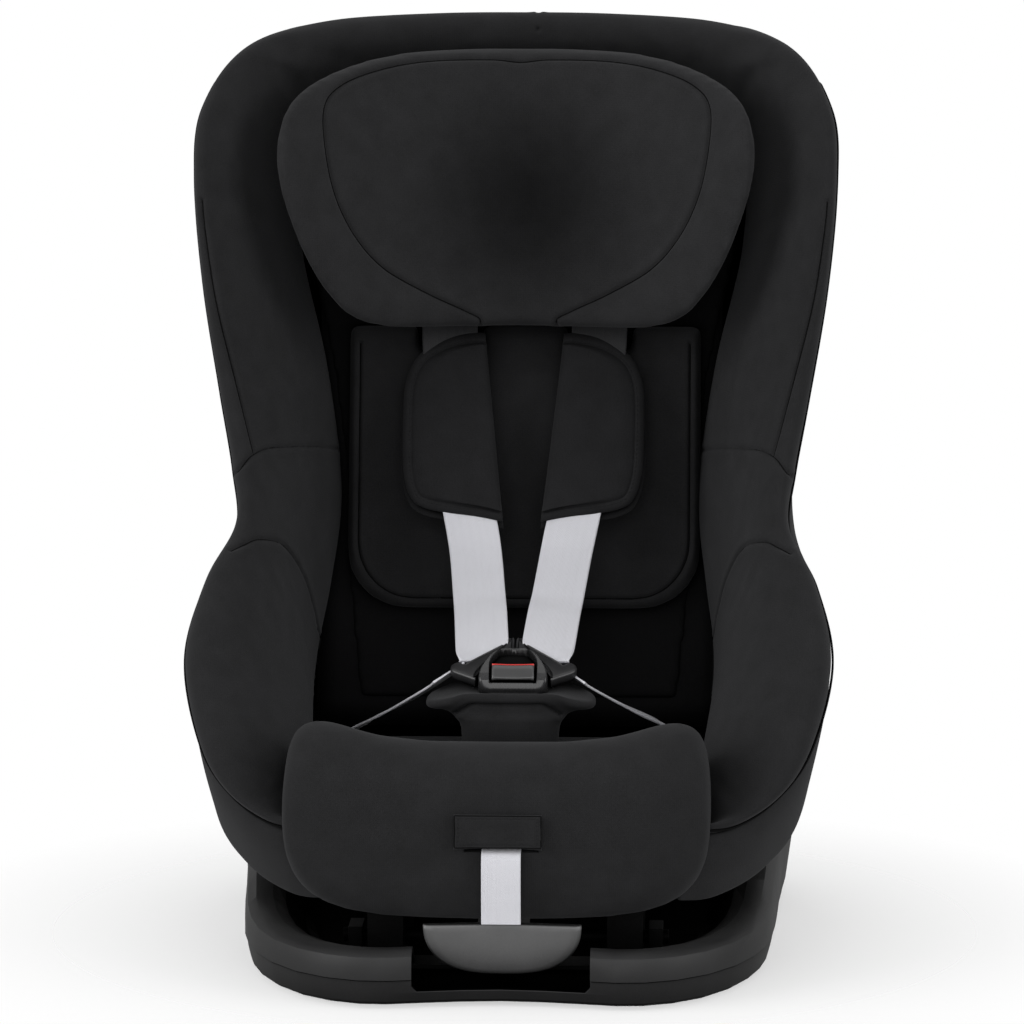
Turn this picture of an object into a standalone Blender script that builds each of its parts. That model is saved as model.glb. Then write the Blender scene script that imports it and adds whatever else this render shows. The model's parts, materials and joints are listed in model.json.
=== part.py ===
"""Forward-facing toddler car seat: a reclining shell on a belt-fastened base.

Metres, +Z up, the seat faces -Y. The origin is on the vehicle seat, under the middle of the seat's length.
Every sub-part is its own object. Pieces that move are parented to an empty on their joint.

The dimensions below are drawn from a datum under the middle of the base. The empties carry the whole seat
from that datum to the origin, so they are the only things that know the difference.
"""

import math

import bmesh
import bpy
import numpy as np
from mathutils import Matrix, Vector

# ---- driving dimensions ----
ORIGIN_Y = 0.0075  # the origin lies this far behind the drawing datum
SEAM_Z = 0.0205  # the joint line between the tray and the upper base moulding
FOOT_HEIGHT = 0.002
TRAY_FLOOR_Z = 0.0065
GAP = 0.0006  # running gap between neighbouring solids

LEAN = math.radians(14.35)  # backrest from vertical
BACK_FOOT = (0.107, 0.210)  # y, z of a point on the backrest surface
BACK_SLOPE = math.tan(LEAN)

SWING_CENTRE = (-0.035, 0.500)  # y, z: the shell reclines about this line
SWING_RADIUS = 0.448  # slide rods to swing centre
RECLINE_DEG = 12.0
ROD_ANGLES_DEG = (-4.0, 14.0)  # front and rear slide rod at rest, from straight down
ROD_RADIUS = 0.005
TILT_PIVOT = (-0.155, 0.028)  # y, z: the carriage tips forward about this shaft

RAIL_INNER_X, RAIL_OUTER_X = 0.071, 0.096
HARNESS_X = 0.053  # harness slots either side of the middle
WEB_WIDTH = 0.038
TAIL_WIDTH = 0.027
WEB_THICK = 0.0014
SHELL_THICK = 0.0035


# Plan of the base, right-hand side from the front scoop to the rear centre: x, y.
BASE_PLAN = (
    (0.0000, -0.2550), (0.0400, -0.2590), (0.0750, -0.2670), (0.1050, -0.2640), (0.1370, -0.2440),
    (0.1640, -0.2050), (0.1790, -0.1620), (0.1865, -0.1200), (0.1905, -0.0600), (0.1930, 0.0000),
    (0.1970, 0.0600), (0.2000, 0.1100), (0.1970, 0.1600), (0.1800, 0.1970), (0.1400, 0.2125),
    (0.0700, 0.2150), (0.0000, 0.2150),
)

CUSHION_HALF_WIDTH = 0.145
FLOOR_PAD_HALF_WIDTH = 0.122

# Guide curves of the padded rim, right-hand side, from the toe of the seat to the top centre.
# Each row: inner foot I, crest A, outer seam O, outer hem B, and the shell spine C (y, z).
RIM_GUIDES = (
    ((0.147, -0.200, 0.103), (0.151, -0.222, 0.108), (0.156, -0.221, 0.102), (0.145, -0.207, 0.064), (-0.162, 0.092)),
    ((0.147, -0.180, 0.125), (0.168, -0.217, 0.131), (0.188, -0.200, 0.130), (0.181, -0.166, 0.081), (-0.125, 0.090)),
    ((0.142, -0.140, 0.150), (0.177, -0.198, 0.167), (0.212, -0.168, 0.163), (0.207, -0.120, 0.110), (-0.055, 0.088)),
    ((0.135, -0.080, 0.165), (0.186, -0.158, 0.214), (0.2275, -0.118, 0.215), (0.222, -0.050, 0.190), (0.010, 0.087)),
    ((0.131, -0.015, 0.176), (0.182, -0.110, 0.258), (0.217, -0.070, 0.262), (0.215, 0.000, 0.250), (0.065, 0.092)),
    ((0.129, 0.045, 0.195), (0.174, -0.070, 0.292), (0.198, -0.032, 0.297), (0.203, 0.030, 0.290), (0.108, 0.122)),
    ((0.128, 0.098, 0.235), (0.174, -0.040, 0.332), (0.2025, -0.004, 0.336), (0.202, 0.060, 0.330), (0.142, 0.200)),
    ((0.129, 0.128, 0.300), (0.184, -0.018, 0.388), (0.2125, 0.010, 0.390), (0.210, 0.080, 0.385), (0.168, 0.290)),
    ((0.142, 0.152, 0.390), (0.198, -0.008, 0.465), (0.2250, 0.020, 0.467), (0.219, 0.095, 0.460), (0.190, 0.385)),
    ((0.163, 0.175, 0.480), (0.206, 0.000, 0.540), (0.2315, 0.030, 0.543), (0.226, 0.108, 0.540), (0.212, 0.475)),
    ((0.164, 0.192, 0.545), (0.202, 0.026, 0.588), (0.2275, 0.055, 0.593), (0.221, 0.130, 0.590), (0.227, 0.535)),
    ((0.146, 0.202, 0.585), (0.180, 0.080, 0.620), (0.198, 0.108, 0.635), (0.194, 0.168, 0.631), (0.238, 0.580)),
    ((0.105, 0.207, 0.604), (0.132, 0.143, 0.634), (0.141, 0.168, 0.651), (0.139, 0.207, 0.647), (0.243, 0.600)),
    ((0.052, 0.209, 0.612), (0.062, 0.176, 0.641), (0.064, 0.196, 0.6545), (0.063, 0.228, 0.650), (0.246, 0.610)),
    ((0.000, 0.210, 0.614), (0.000, 0.184, 0.642), (0.000, 0.202, 0.6550), (0.000, 0.232, 0.650), (0.247, 0.613)),
)
EAR_SPAN = (0.0, 4.88)  # the padded seat wings, in guide rows
BAND_SPAN = (4.96, 14.0)  # the backrest cover above them

# Outline of the headrest seen from the front, right-hand side, bottom centre to top centre: x, z.
HEADREST_OUTLINE = (
    (0.000, 0.4290), (0.050, 0.4290), (0.092, 0.4310), (0.118, 0.4390), (0.135, 0.4560), (0.151, 0.4830),
    (0.165, 0.5200), (0.1725, 0.5530), (0.170, 0.5830), (0.158, 0.6040), (0.130, 0.6190), (0.090, 0.6280),
    (0.040, 0.6305), (0.000, 0.6305),
)
HEADREST_CENTRE_Z = 0.530
HEADREST_DEPTH = 0.030

# Each moving body: its parent, and a point on its joint.
BODIES = {
    "base": (None, (0.0, 0.0, 0.0)),
    "carriage": ("base", (0.0, *TILT_PIVOT)),
    "shell": ("carriage", (0.0, *SWING_CENTRE)),
    "headrest": ("shell", (0.0, 0.18, 0.45)),
    "headrest_release": ("headrest", (0.0, 0.227, 0.452)),
    "recline_handle": ("shell", (0.0, -0.228, 0.045)),
    "recline_latch": ("shell", (0.0, -0.035, 0.055)),
    "buckle": ("shell", (0.0, -0.100, 0.152)),
    "buckle_button": ("buckle", (0.0, -0.089, 0.215)),
    "tongue_left": ("buckle", (-0.030, -0.060, 0.215)),
    "tongue_right": ("buckle", (0.030, -0.060, 0.215)),
    "adjuster_flap": ("shell", (0.0, -0.2530, 0.1315)),
    "adjuster_button": ("shell", (0.0, -0.222, 0.120)),
    "adjuster_tail": ("shell", (0.0, -0.2540, 0.100)),
    "yoke": ("shell", (0.0, 0.200, 0.330)),
    "tilt_latch": ("base", (0.0, 0.130, 0.036)),
    "lock_off_left": ("base", (-0.0985, 0.142, 0.0825)),
    "lock_off_right": ("base", (0.0985, 0.142, 0.0825)),
}


# ---- scene, materials and body empties ----
def clear_scene():
    for old in list(bpy.data.objects):
        bpy.data.objects.remove(old)


def make_material(name, colour, roughness, metallic=0.0):
    made = bpy.data.materials.new(name)
    made.use_nodes = True
    shader = made.node_tree.nodes["Principled BSDF"]
    shader.inputs["Base Color"].default_value = (*colour, 1.0)
    shader.inputs["Roughness"].default_value = roughness
    shader.inputs["Metallic"].default_value = metallic
    return made


def make_materials():
    return {
        "fabric": make_material("fabric", (0.020, 0.020, 0.022), 0.92),
        "pad_fabric": make_material("pad_fabric", (0.012, 0.012, 0.013), 0.95),
        "webbing": make_material("webbing", (0.62, 0.62, 0.65), 0.80),
        "plastic": make_material("plastic", (0.030, 0.030, 0.032), 0.55),
        "gloss": make_material("gloss", (0.018, 0.018, 0.020), 0.25),
        "grey_plastic": make_material("grey_plastic", (0.130, 0.130, 0.130), 0.50),
        "red_plastic": make_material("red_plastic", (0.600, 0.020, 0.020), 0.40),
        "steel": make_material("steel", (0.550, 0.550, 0.560), 0.35, 1.0),
        "foam": make_material("foam", (0.060, 0.060, 0.062), 0.95),
        "rubber": make_material("rubber", (0.020, 0.020, 0.020), 0.85),
    }


def make_body_empties():
    empties = {}
    for name, (parent, place) in BODIES.items():
        empty = bpy.data.objects.new("joint_" + name, None)
        bpy.context.scene.collection.objects.link(empty)
        if parent:
            empty.parent = empties[parent]
            empty.location = Vector(place) - Vector(BODIES[parent][1])
        else:
            empty.location = (0.0, -ORIGIN_Y, 0.0)
        empties[name] = empty
    return empties


def node(name, points, faces, material, body, bevel=0.0, segments=1, smooth=True):
    """One closed sub-part from world-space points, with its origin on its body's joint."""
    mesh = bpy.data.meshes.new(name)
    mesh.from_pydata([tuple(map(float, p)) for p in points], [], faces)
    work = bmesh.new()
    work.from_mesh(mesh)
    bmesh.ops.remove_doubles(work, verts=work.verts, dist=1e-5)
    bmesh.ops.dissolve_degenerate(work, edges=work.edges, dist=1e-6)
    bmesh.ops.recalc_face_normals(work, faces=work.faces)
    work.to_mesh(mesh)
    work.free()
    if smooth:
        mesh.shade_smooth()
        mesh.set_sharp_from_angle(angle=math.radians(35))
    mesh.materials.append(MATERIALS[material])
    made = bpy.data.objects.new(name, mesh)
    bpy.context.scene.collection.objects.link(made)
    mesh.transform(Matrix.Translation(-Vector(BODIES[body][1])))
    made.parent = EMPTIES[body]
    if bevel:
        rounding = made.modifiers.new("Bevel", "BEVEL")
        rounding.width = bevel
        rounding.segments = segments
        rounding.limit_method = "ANGLE"
    return made


def cutter(name, points, faces):
    """A hidden helper solid for a Boolean."""
    made = node(name, points, faces, "steel", "base", smooth=False)
    made.hide_render = True
    made.display_type = "WIRE"
    return made


def cut(target, *tools):
    for tool in tools:
        boolean = target.modifiers.new("Cut", "BOOLEAN")
        boolean.operation = "DIFFERENCE"
        boolean.object = tool


# ---- geometry helpers: each returns (points, faces) of a closed solid ----
def spline(rows, count, start=0.0, end=None):
    """Catmull-Rom curve through rows, sampled evenly between row numbers start and end."""
    rows = np.asarray(rows, float)
    last = len(rows) - 1
    end = last if end is None else end
    made = []
    for t in np.linspace(start, end, count):
        i = min(int(t), last - 1)
        f = t - i
        a, b, c, d = (rows[min(max(k, 0), last)] for k in (i - 1, i, i + 1, i + 2))
        made.append(
            0.5 * (2 * b + (c - a) * f + (2 * a - 5 * b + 4 * c - d) * f**2 + (3 * b - a - 3 * c + d) * f**3)
        )
    return np.array(made)


def rounded(control, count):
    """Clamped cubic B-spline drawn inside a control polygon."""
    control = np.asarray(control, float)
    n = len(control)
    degree = min(3, n - 1)
    knots = np.concatenate([np.zeros(degree), np.linspace(0, 1, n - degree + 1), np.ones(degree)])
    made = []
    for t in np.linspace(0, 1, count):
        span = min(max(int(np.searchsorted(knots, t, side="right")) - 1, degree), n - 1)
        d = [control[span - degree + j].copy() for j in range(degree + 1)]
        for r in range(1, degree + 1):
            for j in range(degree, r - 1, -1):
                low = knots[span - degree + j]
                share = (t - low) / (knots[j + 1 + span - r] - low)
                d[j] = (1 - share) * d[j - 1] + share * d[j]
        made.append(d[degree])
    return np.array(made)


def loft(rings, caps=True, closed_path=False):
    """Rings of equal length joined side to side; the two end rings are capped."""
    rings = [np.asarray(r, float) for r in rings]
    n = len(rings[0])
    points = np.concatenate(rings)
    faces = []
    last = len(rings) if closed_path else len(rings) - 1
    for i in range(last):
        a, b = i * n, ((i + 1) % len(rings)) * n
        for j in range(n):
            k = (j + 1) % n
            faces.append((a + j, a + k, b + k, b + j))
    if caps and not closed_path:
        faces.append(tuple(range(n - 1, -1, -1)))
        faces.append(tuple(range((len(rings) - 1) * n, len(rings) * n)))
    return points, faces


def sheet(front, back):
    """A solid between two grids of the same size."""
    rows, cols = front.shape[:2]
    points = np.concatenate([front.reshape(-1, 3), back.reshape(-1, 3)])
    half = rows * cols
    faces = []
    for i in range(rows - 1):
        for j in range(cols - 1):
            a, b = i * cols + j, (i + 1) * cols + j
            faces.append((a, b, b + 1, a + 1))
            faces.append((half + a, half + a + 1, half + b + 1, half + b))
    edge = [(0, j) for j in range(cols)] + [(i, cols - 1) for i in range(1, rows)]
    edge += [(rows - 1, j) for j in range(cols - 2, -1, -1)] + [(i, 0) for i in range(rows - 2, 0, -1)]
    loop = [i * cols + j for i, j in edge]
    for a, b in zip(loop, loop[1:] + loop[:1]):
        faces.append((a, b, half + b, half + a))
    return points, faces


def box(low, high):
    low, high = np.array(low, float), np.array(high, float)
    ring = [(low[0], low[1]), (high[0], low[1]), (high[0], high[1]), (low[0], high[1])]
    return loft([[(x, y, z) for x, y in ring] for z in (low[2], high[2])])


def rod(start, end, radius, sides=16):
    """A round bar from start to end."""
    start, end = Vector(start), Vector(end)
    turn = (end - start).to_track_quat("Z", "Y")
    rings = []
    for centre in (start, end):
        ring = []
        for k in range(sides):
            a = 2 * math.pi * k / sides
            ring.append(centre + turn @ Vector((radius * math.cos(a), radius * math.sin(a), 0)))
        rings.append([tuple(p) for p in ring])
    return loft(rings)


def slab(outline_yz, x0, x1):
    """An outline in the side view, extruded across the seat."""
    return loft([[(x, y, z) for y, z in outline_yz] for x in (x0, x1)])


def rounded_box(centre, size, axes, corner, steps=3):
    """A box with rounded sides along its third axis. axes are three unit vectors."""
    half = np.array(size, float) / 2
    ring = []
    for k, (sx, sy) in enumerate(((1, 1), (-1, 1), (-1, -1), (1, -1))):
        for j in range(steps + 1):
            a = math.pi / 2 * (k + j / steps)
            x, y = corner * math.cos(a), corner * math.sin(a)
            ring.append((sx * (half[0] - corner) + x, sy * (half[1] - corner) + y))
    axes = [np.array(a, float) for a in axes]
    edge = min(corner, half[2]) * 0.35
    rings = []
    for level, shrink in ((-half[2], edge), (-half[2] + edge, 0.0), (half[2] - edge, 0.0), (half[2], edge)):
        kx, ky = 1 - shrink / half[0], 1 - shrink / half[1]
        middle = np.array(centre) + axes[2] * level
        rings.append([middle + axes[0] * x * kx + axes[1] * y * ky for x, y in ring])
    return loft(rings)


def arc_yz(centre, radius, start_deg, end_deg, count):
    """Points on an arc in the side view; angles run from straight down, positive to the rear."""
    angles = np.radians(np.linspace(start_deg, end_deg, count))
    return [(centre[0] + radius * math.sin(a), centre[1] - radius * math.cos(a)) for a in angles]


def back_y(z):
    return BACK_FOOT[0] + (z - BACK_FOOT[1]) * BACK_SLOPE


def on_back(x, z, q):
    """A point q metres in front of the backrest surface."""
    return (x, back_y(z) - q, z)


def back_box(x0, x1, z0, z1, q0, q1):
    """A block whose faces follow the lean of the backrest."""
    rings = []
    for z in (z0, z1):
        rings.append([on_back(x0, z, q0), on_back(x1, z, q0), on_back(x1, z, q1), on_back(x0, z, q1)])
    return loft(rings)


def ribbon(path, width, thickness, across=(1.0, 0.0, 0.0)):
    """Flat webbing along a path."""
    path = np.asarray(path, float)
    across = np.array(across) / np.linalg.norm(across)
    along = np.gradient(path, axis=0)
    normal = np.cross(along, across)
    normal /= np.linalg.norm(normal, axis=1)[:, None]
    w, t = across * width / 2, normal * thickness / 2
    return loft([[p - w - n, p + w - n, p + w + n, p - w + n] for p, n in zip(path, t)])


def to_side(points, sign):
    """Points of the right-hand side as they are, or mirrored to the left with sign -1."""
    return np.asarray(points, float) * np.array([sign, 1.0, 1.0])


# ---- the padded rim: sections between its guide curves ----
def guides(count, span):
    """Guide points I, A, O, B and C at even steps over a span of guide rows."""
    table = [[*i, *a, *o, *b, 0.0, *c] for i, a, o, b, c in RIM_GUIDES]
    rows = spline(table, count, *span).reshape(count, 5, 3)
    return [rows[:, k] for k in range(5)]


def rim_front(inner, crest, outer, count):
    """The visible section of the rim, from its inner foot over the crest to the outer seam."""
    forward = crest - (inner + outer) / 2
    forward /= np.linalg.norm(forward)
    out = outer - crest
    shoulder = crest + out - forward * (out @ forward)
    push = forward * 0.004
    wall = inner + (crest - inner) * 0.45 - (outer - inner) * 0.05
    return rounded([inner, wall, crest + push, shoulder + push, outer], count)


def rim_ring(inner, crest, outer, hem, spine, thick):
    """A closed section: the visible curve, then back to the foot behind it."""
    front = rim_front(inner, crest, outer, 11)
    behind = hem - outer
    behind = behind / max(np.linalg.norm(behind), 1e-6)
    outward = outer - spine
    outward = outward / np.linalg.norm(outward)
    end = outer + behind * thick * 0.35 - outward * thick * 0.75
    foot = inner + behind * thick * 0.6 + outward * thick * 0.3
    back = [end + (foot - end) * k / 3 for k in range(4)]
    return np.concatenate([front[:-1], [front[-1] - outward * 0.0015], back])


def build_rim_pads():
    for side, sign in (("left", -1.0), ("right", 1.0)):
        i, a, o, b, c = guides(13, EAR_SPAN)
        rings = [to_side(rim_ring(*g, thick=0.010), sign) for g in zip(i, a, o, b, c)]
        node(f"seat_wing_pad_{side}", *loft(rings), "fabric", "shell")
    i, a, o, b, c = guides(20, BAND_SPAN)
    right = [rim_ring(*g, thick=0.012) for g in zip(i, a, o, b, c)]
    left = [to_side(r, -1.0) for r in right[:-1]]
    node("backrest_cover", *loft(left + right[::-1]), "fabric", "shell")


def build_side_skirts():
    """Outer fabric from the seam back to the hem, over the edge of the shell."""
    thick, below_seam = 0.0035, 0.0052
    for side, sign in (("left", -1.0), ("right", 1.0)):
        _, _, o, b, c = guides(24, (0.35, 12.2))
        rings = []
        for outer, hem, spine in zip(o, b, c):
            inward = spine - outer
            inward /= np.linalg.norm(inward)
            start = outer + (hem - outer) * below_seam / np.linalg.norm(hem - outer)
            middle = (outer + hem) / 2 - inward * 0.002
            ring = [start, middle, hem, hem + inward * thick, middle + inward * thick, start + inward * thick]
            rings.append(to_side(ring, sign))
        node(f"side_skirt_{side}", *loft(rings), "fabric", "shell")


# ---- the moulded shell ----
def shell_half(count_u=27, count_s=13):
    """Outer surface of the right half of the shell, from its spine to its rim."""
    _, _, o, b, c = guides(count_u, (0.0, 14.0))
    rows = []
    for outer, hem, spine in zip(o, b, c):
        inset = spine - outer
        inset /= np.linalg.norm(inset)
        hem_in = hem + inset * 0.0065
        rim = outer + (hem - outer) * 0.34 + inset * 0.0085
        corner = np.array([hem_in[0] * 0.88, *(spine + (hem_in - spine) * 0.10)[1:]])
        side = np.array([hem_in[0] * 0.99, *(spine + (hem_in - spine) * 0.52)[1:]])
        flat = np.array([hem_in[0] * 0.50, spine[1], spine[2]])
        rows.append(rounded([spine, flat, corner, side, hem_in, rim], count_s))
    return np.array(rows)


def normals_of(grid):
    across = np.cross(np.gradient(grid, axis=0), np.gradient(grid, axis=1))
    across /= np.maximum(np.linalg.norm(across, axis=2), 1e-12)[:, :, None]
    for line in (across[:, 0], across[-1]):
        line[:, 0] = 0.0
        line /= np.maximum(np.linalg.norm(line, axis=1), 1e-12)[:, None]
    return across


def whole_width(right):
    """A grid of the whole shell from its right half, whose first column is the centre line."""
    return np.concatenate([to_side(right, -1.0)[:, :0:-1], right], axis=1)


def build_shell():
    outside = shell_half()
    inside = outside - normals_of(outside) * SHELL_THICK
    shell = node("seat_shell", *sheet(whole_width(outside), whole_width(inside)), "plastic", "shell")
    open_centre_plane(shell.data)
    cut(shell, *SLOT_CUTTERS, STRAP_HOLE_CUTTER)


def open_centre_plane(mesh):
    """The halves meet at the top centre, where both have an edge strip in the centre plane: takes it out."""
    work = bmesh.new()
    work.from_mesh(mesh)
    strips = [f for f in work.faces if all(abs(v.co.x) < 1e-6 for v in f.verts)]
    bmesh.ops.delete(work, geom=strips, context="FACES")
    work.to_mesh(mesh)
    work.free()


def make_slot_cutters():
    """The harness and headrest slots through the backrest, one each side, and the crotch strap hole."""
    tools = []
    for side, sign in (("left", -1), ("right", 1)):
        x0, x1 = sorted((sign * (HARNESS_X - 0.0215), sign * (HARNESS_X + 0.0215)))
        tools.append(cutter(f"cutter_slot_{side}", *back_box(x0, x1, 0.410, 0.606, -0.055, 0.015)))
    hole = cutter("cutter_crotch_hole", *box((-0.024, -0.106, 0.070), (0.024, -0.094, 0.170)))
    notches = []
    for side, sign in (("left", -1), ("right", 1)):
        x0, x1 = sorted((sign * (HARNESS_X - 0.0225), sign * (HARNESS_X + 0.0225)))
        notches.append(cutter(f"cutter_notch_{side}", *back_box(x0, x1, 0.404, 0.440, -0.010, 0.030)))
    return tools, hole, notches


# ---- soft parts inside the rim ----
def build_back_pads():
    """The backrest padding, and the energy-absorbing foam behind it."""
    half = ((0.118, 0.152), (0.1265, 0.235), (0.1275, 0.300), (0.1400, 0.390), (0.1600, 0.480), (0.1610, 0.545))
    half += ((0.1430, 0.583), (0.1020, 0.600), (0.0000, 0.608))
    for name, material, q0, q1, shrink in (
        ("backrest_pad", "fabric", -0.0105, 0.0, 1.0),
        ("backrest_foam", "foam", -0.0262, -0.0115, 0.80),
    ):
        right = [(x * shrink, 0.40 + (z - 0.40) * (0.35 + 0.65 * shrink)) for x, z in half]
        left = [(-x, z) for x, z in right[:-1]]
        outline = right + left[::-1]
        made = node(name, *loft([[on_back(x, z, q) for x, z in outline] for q in (q0, q1)]), material, "shell")
        cut(made, *SLOT_CUTTERS)


def build_insert():
    """The removable body insert that lies on the backrest, with rounded lower corners."""
    corner, half, low, high = 0.042, 0.1245, 0.219, 0.424
    ring = [(half, high), (-half, high)]
    for k, sign in enumerate((-1, 1)):
        for a in np.radians(np.linspace(0, 90, 6)):
            a = a if k == 0 else math.pi / 2 - a
            ring.append((sign * (half - corner + corner * math.cos(a)), low + corner - corner * math.sin(a)))
    levels = ((0.0010, 0.975), (0.0050, 1.0), (0.0150, 1.0), (0.0195, 0.96))
    middle_z = (low + high) / 2
    rings = []
    for q, k in levels:
        rings.append([on_back(x * k, middle_z + (z - middle_z) * k, q) for x, z in ring])
    cut(node("body_insert", *loft(rings), "pad_fabric", "shell"), *NOTCH_CUTTERS)


def cushion_profile(x):
    """Side-view outline of the seat cushion at a distance x from the middle."""
    lift = 0.009 * min(abs(x) / 0.11, 1.0) ** 2
    sag = 0.004 * (1.0 - min(abs(x) / 0.12, 1.0) ** 2)
    end = max(0.0, (abs(x) - 0.138) / 0.007)
    rear = 0.068 if abs(x) <= FLOOR_PAD_HALF_WIDTH + 1e-6 else -0.166
    rear_top = 0.1285 if rear > 0 else 0.160 + lift
    roll = [(-0.172, 0.163 + lift), (-0.200, 0.175 + lift), (-0.222, 0.175 + lift), (-0.2400, 0.162 + lift)]
    roll += [(-0.2500, 0.142), (-0.2520, 0.120), (-0.2500, 0.098), (-0.2430, 0.078 - sag / 2)]
    roll += [(-0.2320, 0.0630 - sag), (-0.2210, 0.0580 - sag), (-0.2145, 0.0640), (-0.2135, 0.0990)]
    pulled = [(y + (-0.215 - y) * 0.05 * end, z + (0.118 - z) * 0.05 * end) for y, z in roll]
    floor_mid = (rear + -0.172) / 2
    kick = (0.034, 0.015) if rear > 0 else (0.002, 0.001)
    under = [(-0.1830, 0.0990), (floor_mid, 0.0990), (rear - kick[0], 0.0990), (rear, 0.0990 + kick[1])]
    return pulled + under + [(rear, rear_top), (floor_mid, (rear_top + 0.163 + lift) / 2 - 0.004)]


def build_cushion():
    half = [0.0, 0.040, 0.080, FLOOR_PAD_HALF_WIDTH, FLOOR_PAD_HALF_WIDTH + 0.004, 0.138, CUSHION_HALF_WIDTH]
    stations = [-x for x in half[:0:-1]] + half
    rings = [[(x, y, z) for y, z in cushion_profile(x)] for x in stations]
    cushion = node("seat_cushion", *loft(rings), "fabric", "shell")
    pocket = cutter("cutter_adjuster_pocket", *box((-0.0335, -0.280, 0.0960), (0.0335, -0.165, 0.1345)))
    cut(cushion, pocket, STRAP_HOLE_CUTTER)


# ---- headrest ----
def headrest_reach(x):
    """How far the headrest's front stands off the backrest: shallow in the middle, deep at the wings."""
    return 0.074 + 0.106 * min(abs(x) / 0.168, 1.0) ** 2.1


def headrest_grid(rings, around, level):
    """Rows of points from the centre out to the outline, level metres behind the front surface."""
    right = spline(HEADREST_OUTLINE, around // 2 + 1)
    outline = np.concatenate([right, (right * np.array([-1.0, 1.0]))[-2:0:-1]])
    grid = []
    for r in rings:
        edge = 0.013 * r**8
        row = []
        for x, z in outline:
            px, pz = x * r, HEADREST_CENTRE_Z + (z - HEADREST_CENTRE_Z) * r
            row.append(on_back(px, pz, headrest_reach(px) - level + (edge if level else -edge)))
        grid.append(row)
    return grid


def dish(front_rows, back_rows):
    """A solid from two fans of rings that share a centre axis; each first row is a point."""
    n = len(front_rows[0])
    points = [np.mean(front_rows[0], axis=0)]
    faces = []
    rows = [*front_rows[1:], *back_rows[:0:-1]]
    for row in rows:
        points.extend(row)
    points.append(np.mean(back_rows[0], axis=0))
    for j in range(n):
        k = (j + 1) % n
        faces.append((0, 1 + j, 1 + k))
        for i in range(len(rows) - 1):
            a, b = 1 + i * n, 1 + (i + 1) * n
            faces.append((a + j, b + j, b + k, a + k))
        a = 1 + (len(rows) - 1) * n
        faces.append((len(points) - 1, a + k, a + j))
    return points, faces


def headrest_carrier():
    """A plate on the guide rods behind the shell, with two arms through the slots to the headrest."""
    near, arm_in, arm_out, plate_out = 0.0425, 0.042, 0.064, 0.070
    right = [(arm_in, -0.0470), (arm_in, near), (arm_out, near), (arm_out, -0.0470), (plate_out, -0.0470)]
    outline = right + [(plate_out, -0.0680)]
    outline = outline + [(-x, q) for x, q in outline[::-1]]
    return loft([[on_back(x, z, q) for x, q in outline] for z in (0.466, 0.496)])


def build_headrest():
    reach = (0.0, 0.35, 0.65, 0.85, 0.96, 1.0)
    front = headrest_grid(reach, 32, 0.0)
    back = headrest_grid(reach, 32, HEADREST_DEPTH)
    node("headrest_pad", *dish(front, back), "fabric", "headrest")
    plate_reach = (*reach[:4], 0.92)
    front = headrest_grid(plate_reach, 32, HEADREST_DEPTH + 0.0025)
    back = headrest_grid(plate_reach, 32, HEADREST_DEPTH + 0.0053)
    node("headrest_shell", *dish(front, back), "plastic", "headrest")
    carrier = node("headrest_carrier", *headrest_carrier(), "plastic", "headrest")
    holes = []
    for side, sign in (("left", -1), ("right", 1)):
        line = sign * HARNESS_X
        ends = on_back(line, 0.40, -0.0565), on_back(line, 0.65, -0.0565)
        holes.append(cutter(f"cutter_guide_{side}", *rod(*ends, 0.0046, 12)))
        ends = on_back(line, 0.425, -0.0565), on_back(line, 0.598, -0.0565)
        node(f"headrest_guide_rod_{side}", *rod(*ends, 0.0040, 12), "steel", "shell")
    cut(carrier, *holes)
    bar = back_box(-0.036, 0.036, 0.446, 0.458, -0.0640, -0.0500)
    node("headrest_release_bar", *bar, "grey_plastic", "headrest_release", bevel=0.002)


def build_back_cover():
    """The rear cover: a shallow tray over the guide rods and harness yoke."""
    outline = [(0.092, 0.262), (0.098, 0.290), (0.098, 0.578), (0.090, 0.606)]
    ring = outline + [(-x, z) for x, z in outline[::-1]]
    middle_z = 0.432

    def level(q, inset):
        return [on_back(x - math.copysign(inset, x), z - math.copysign(inset, z - middle_z), q) for x, z in ring]

    rings = [level(-0.0735, 0.0105), level(-0.0690, 0.0055), level(-0.0405, 0.0030)]
    rings += [level(-0.0405, 0.0), level(-0.0700, 0.002), level(-0.0762, 0.009)]
    cover = node("back_cover", *loft(rings), "plastic", "shell")
    cut(cover, cutter("cutter_cover_window", *back_box(-0.040, 0.040, 0.436, 0.578, -0.090, -0.060)))


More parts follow.
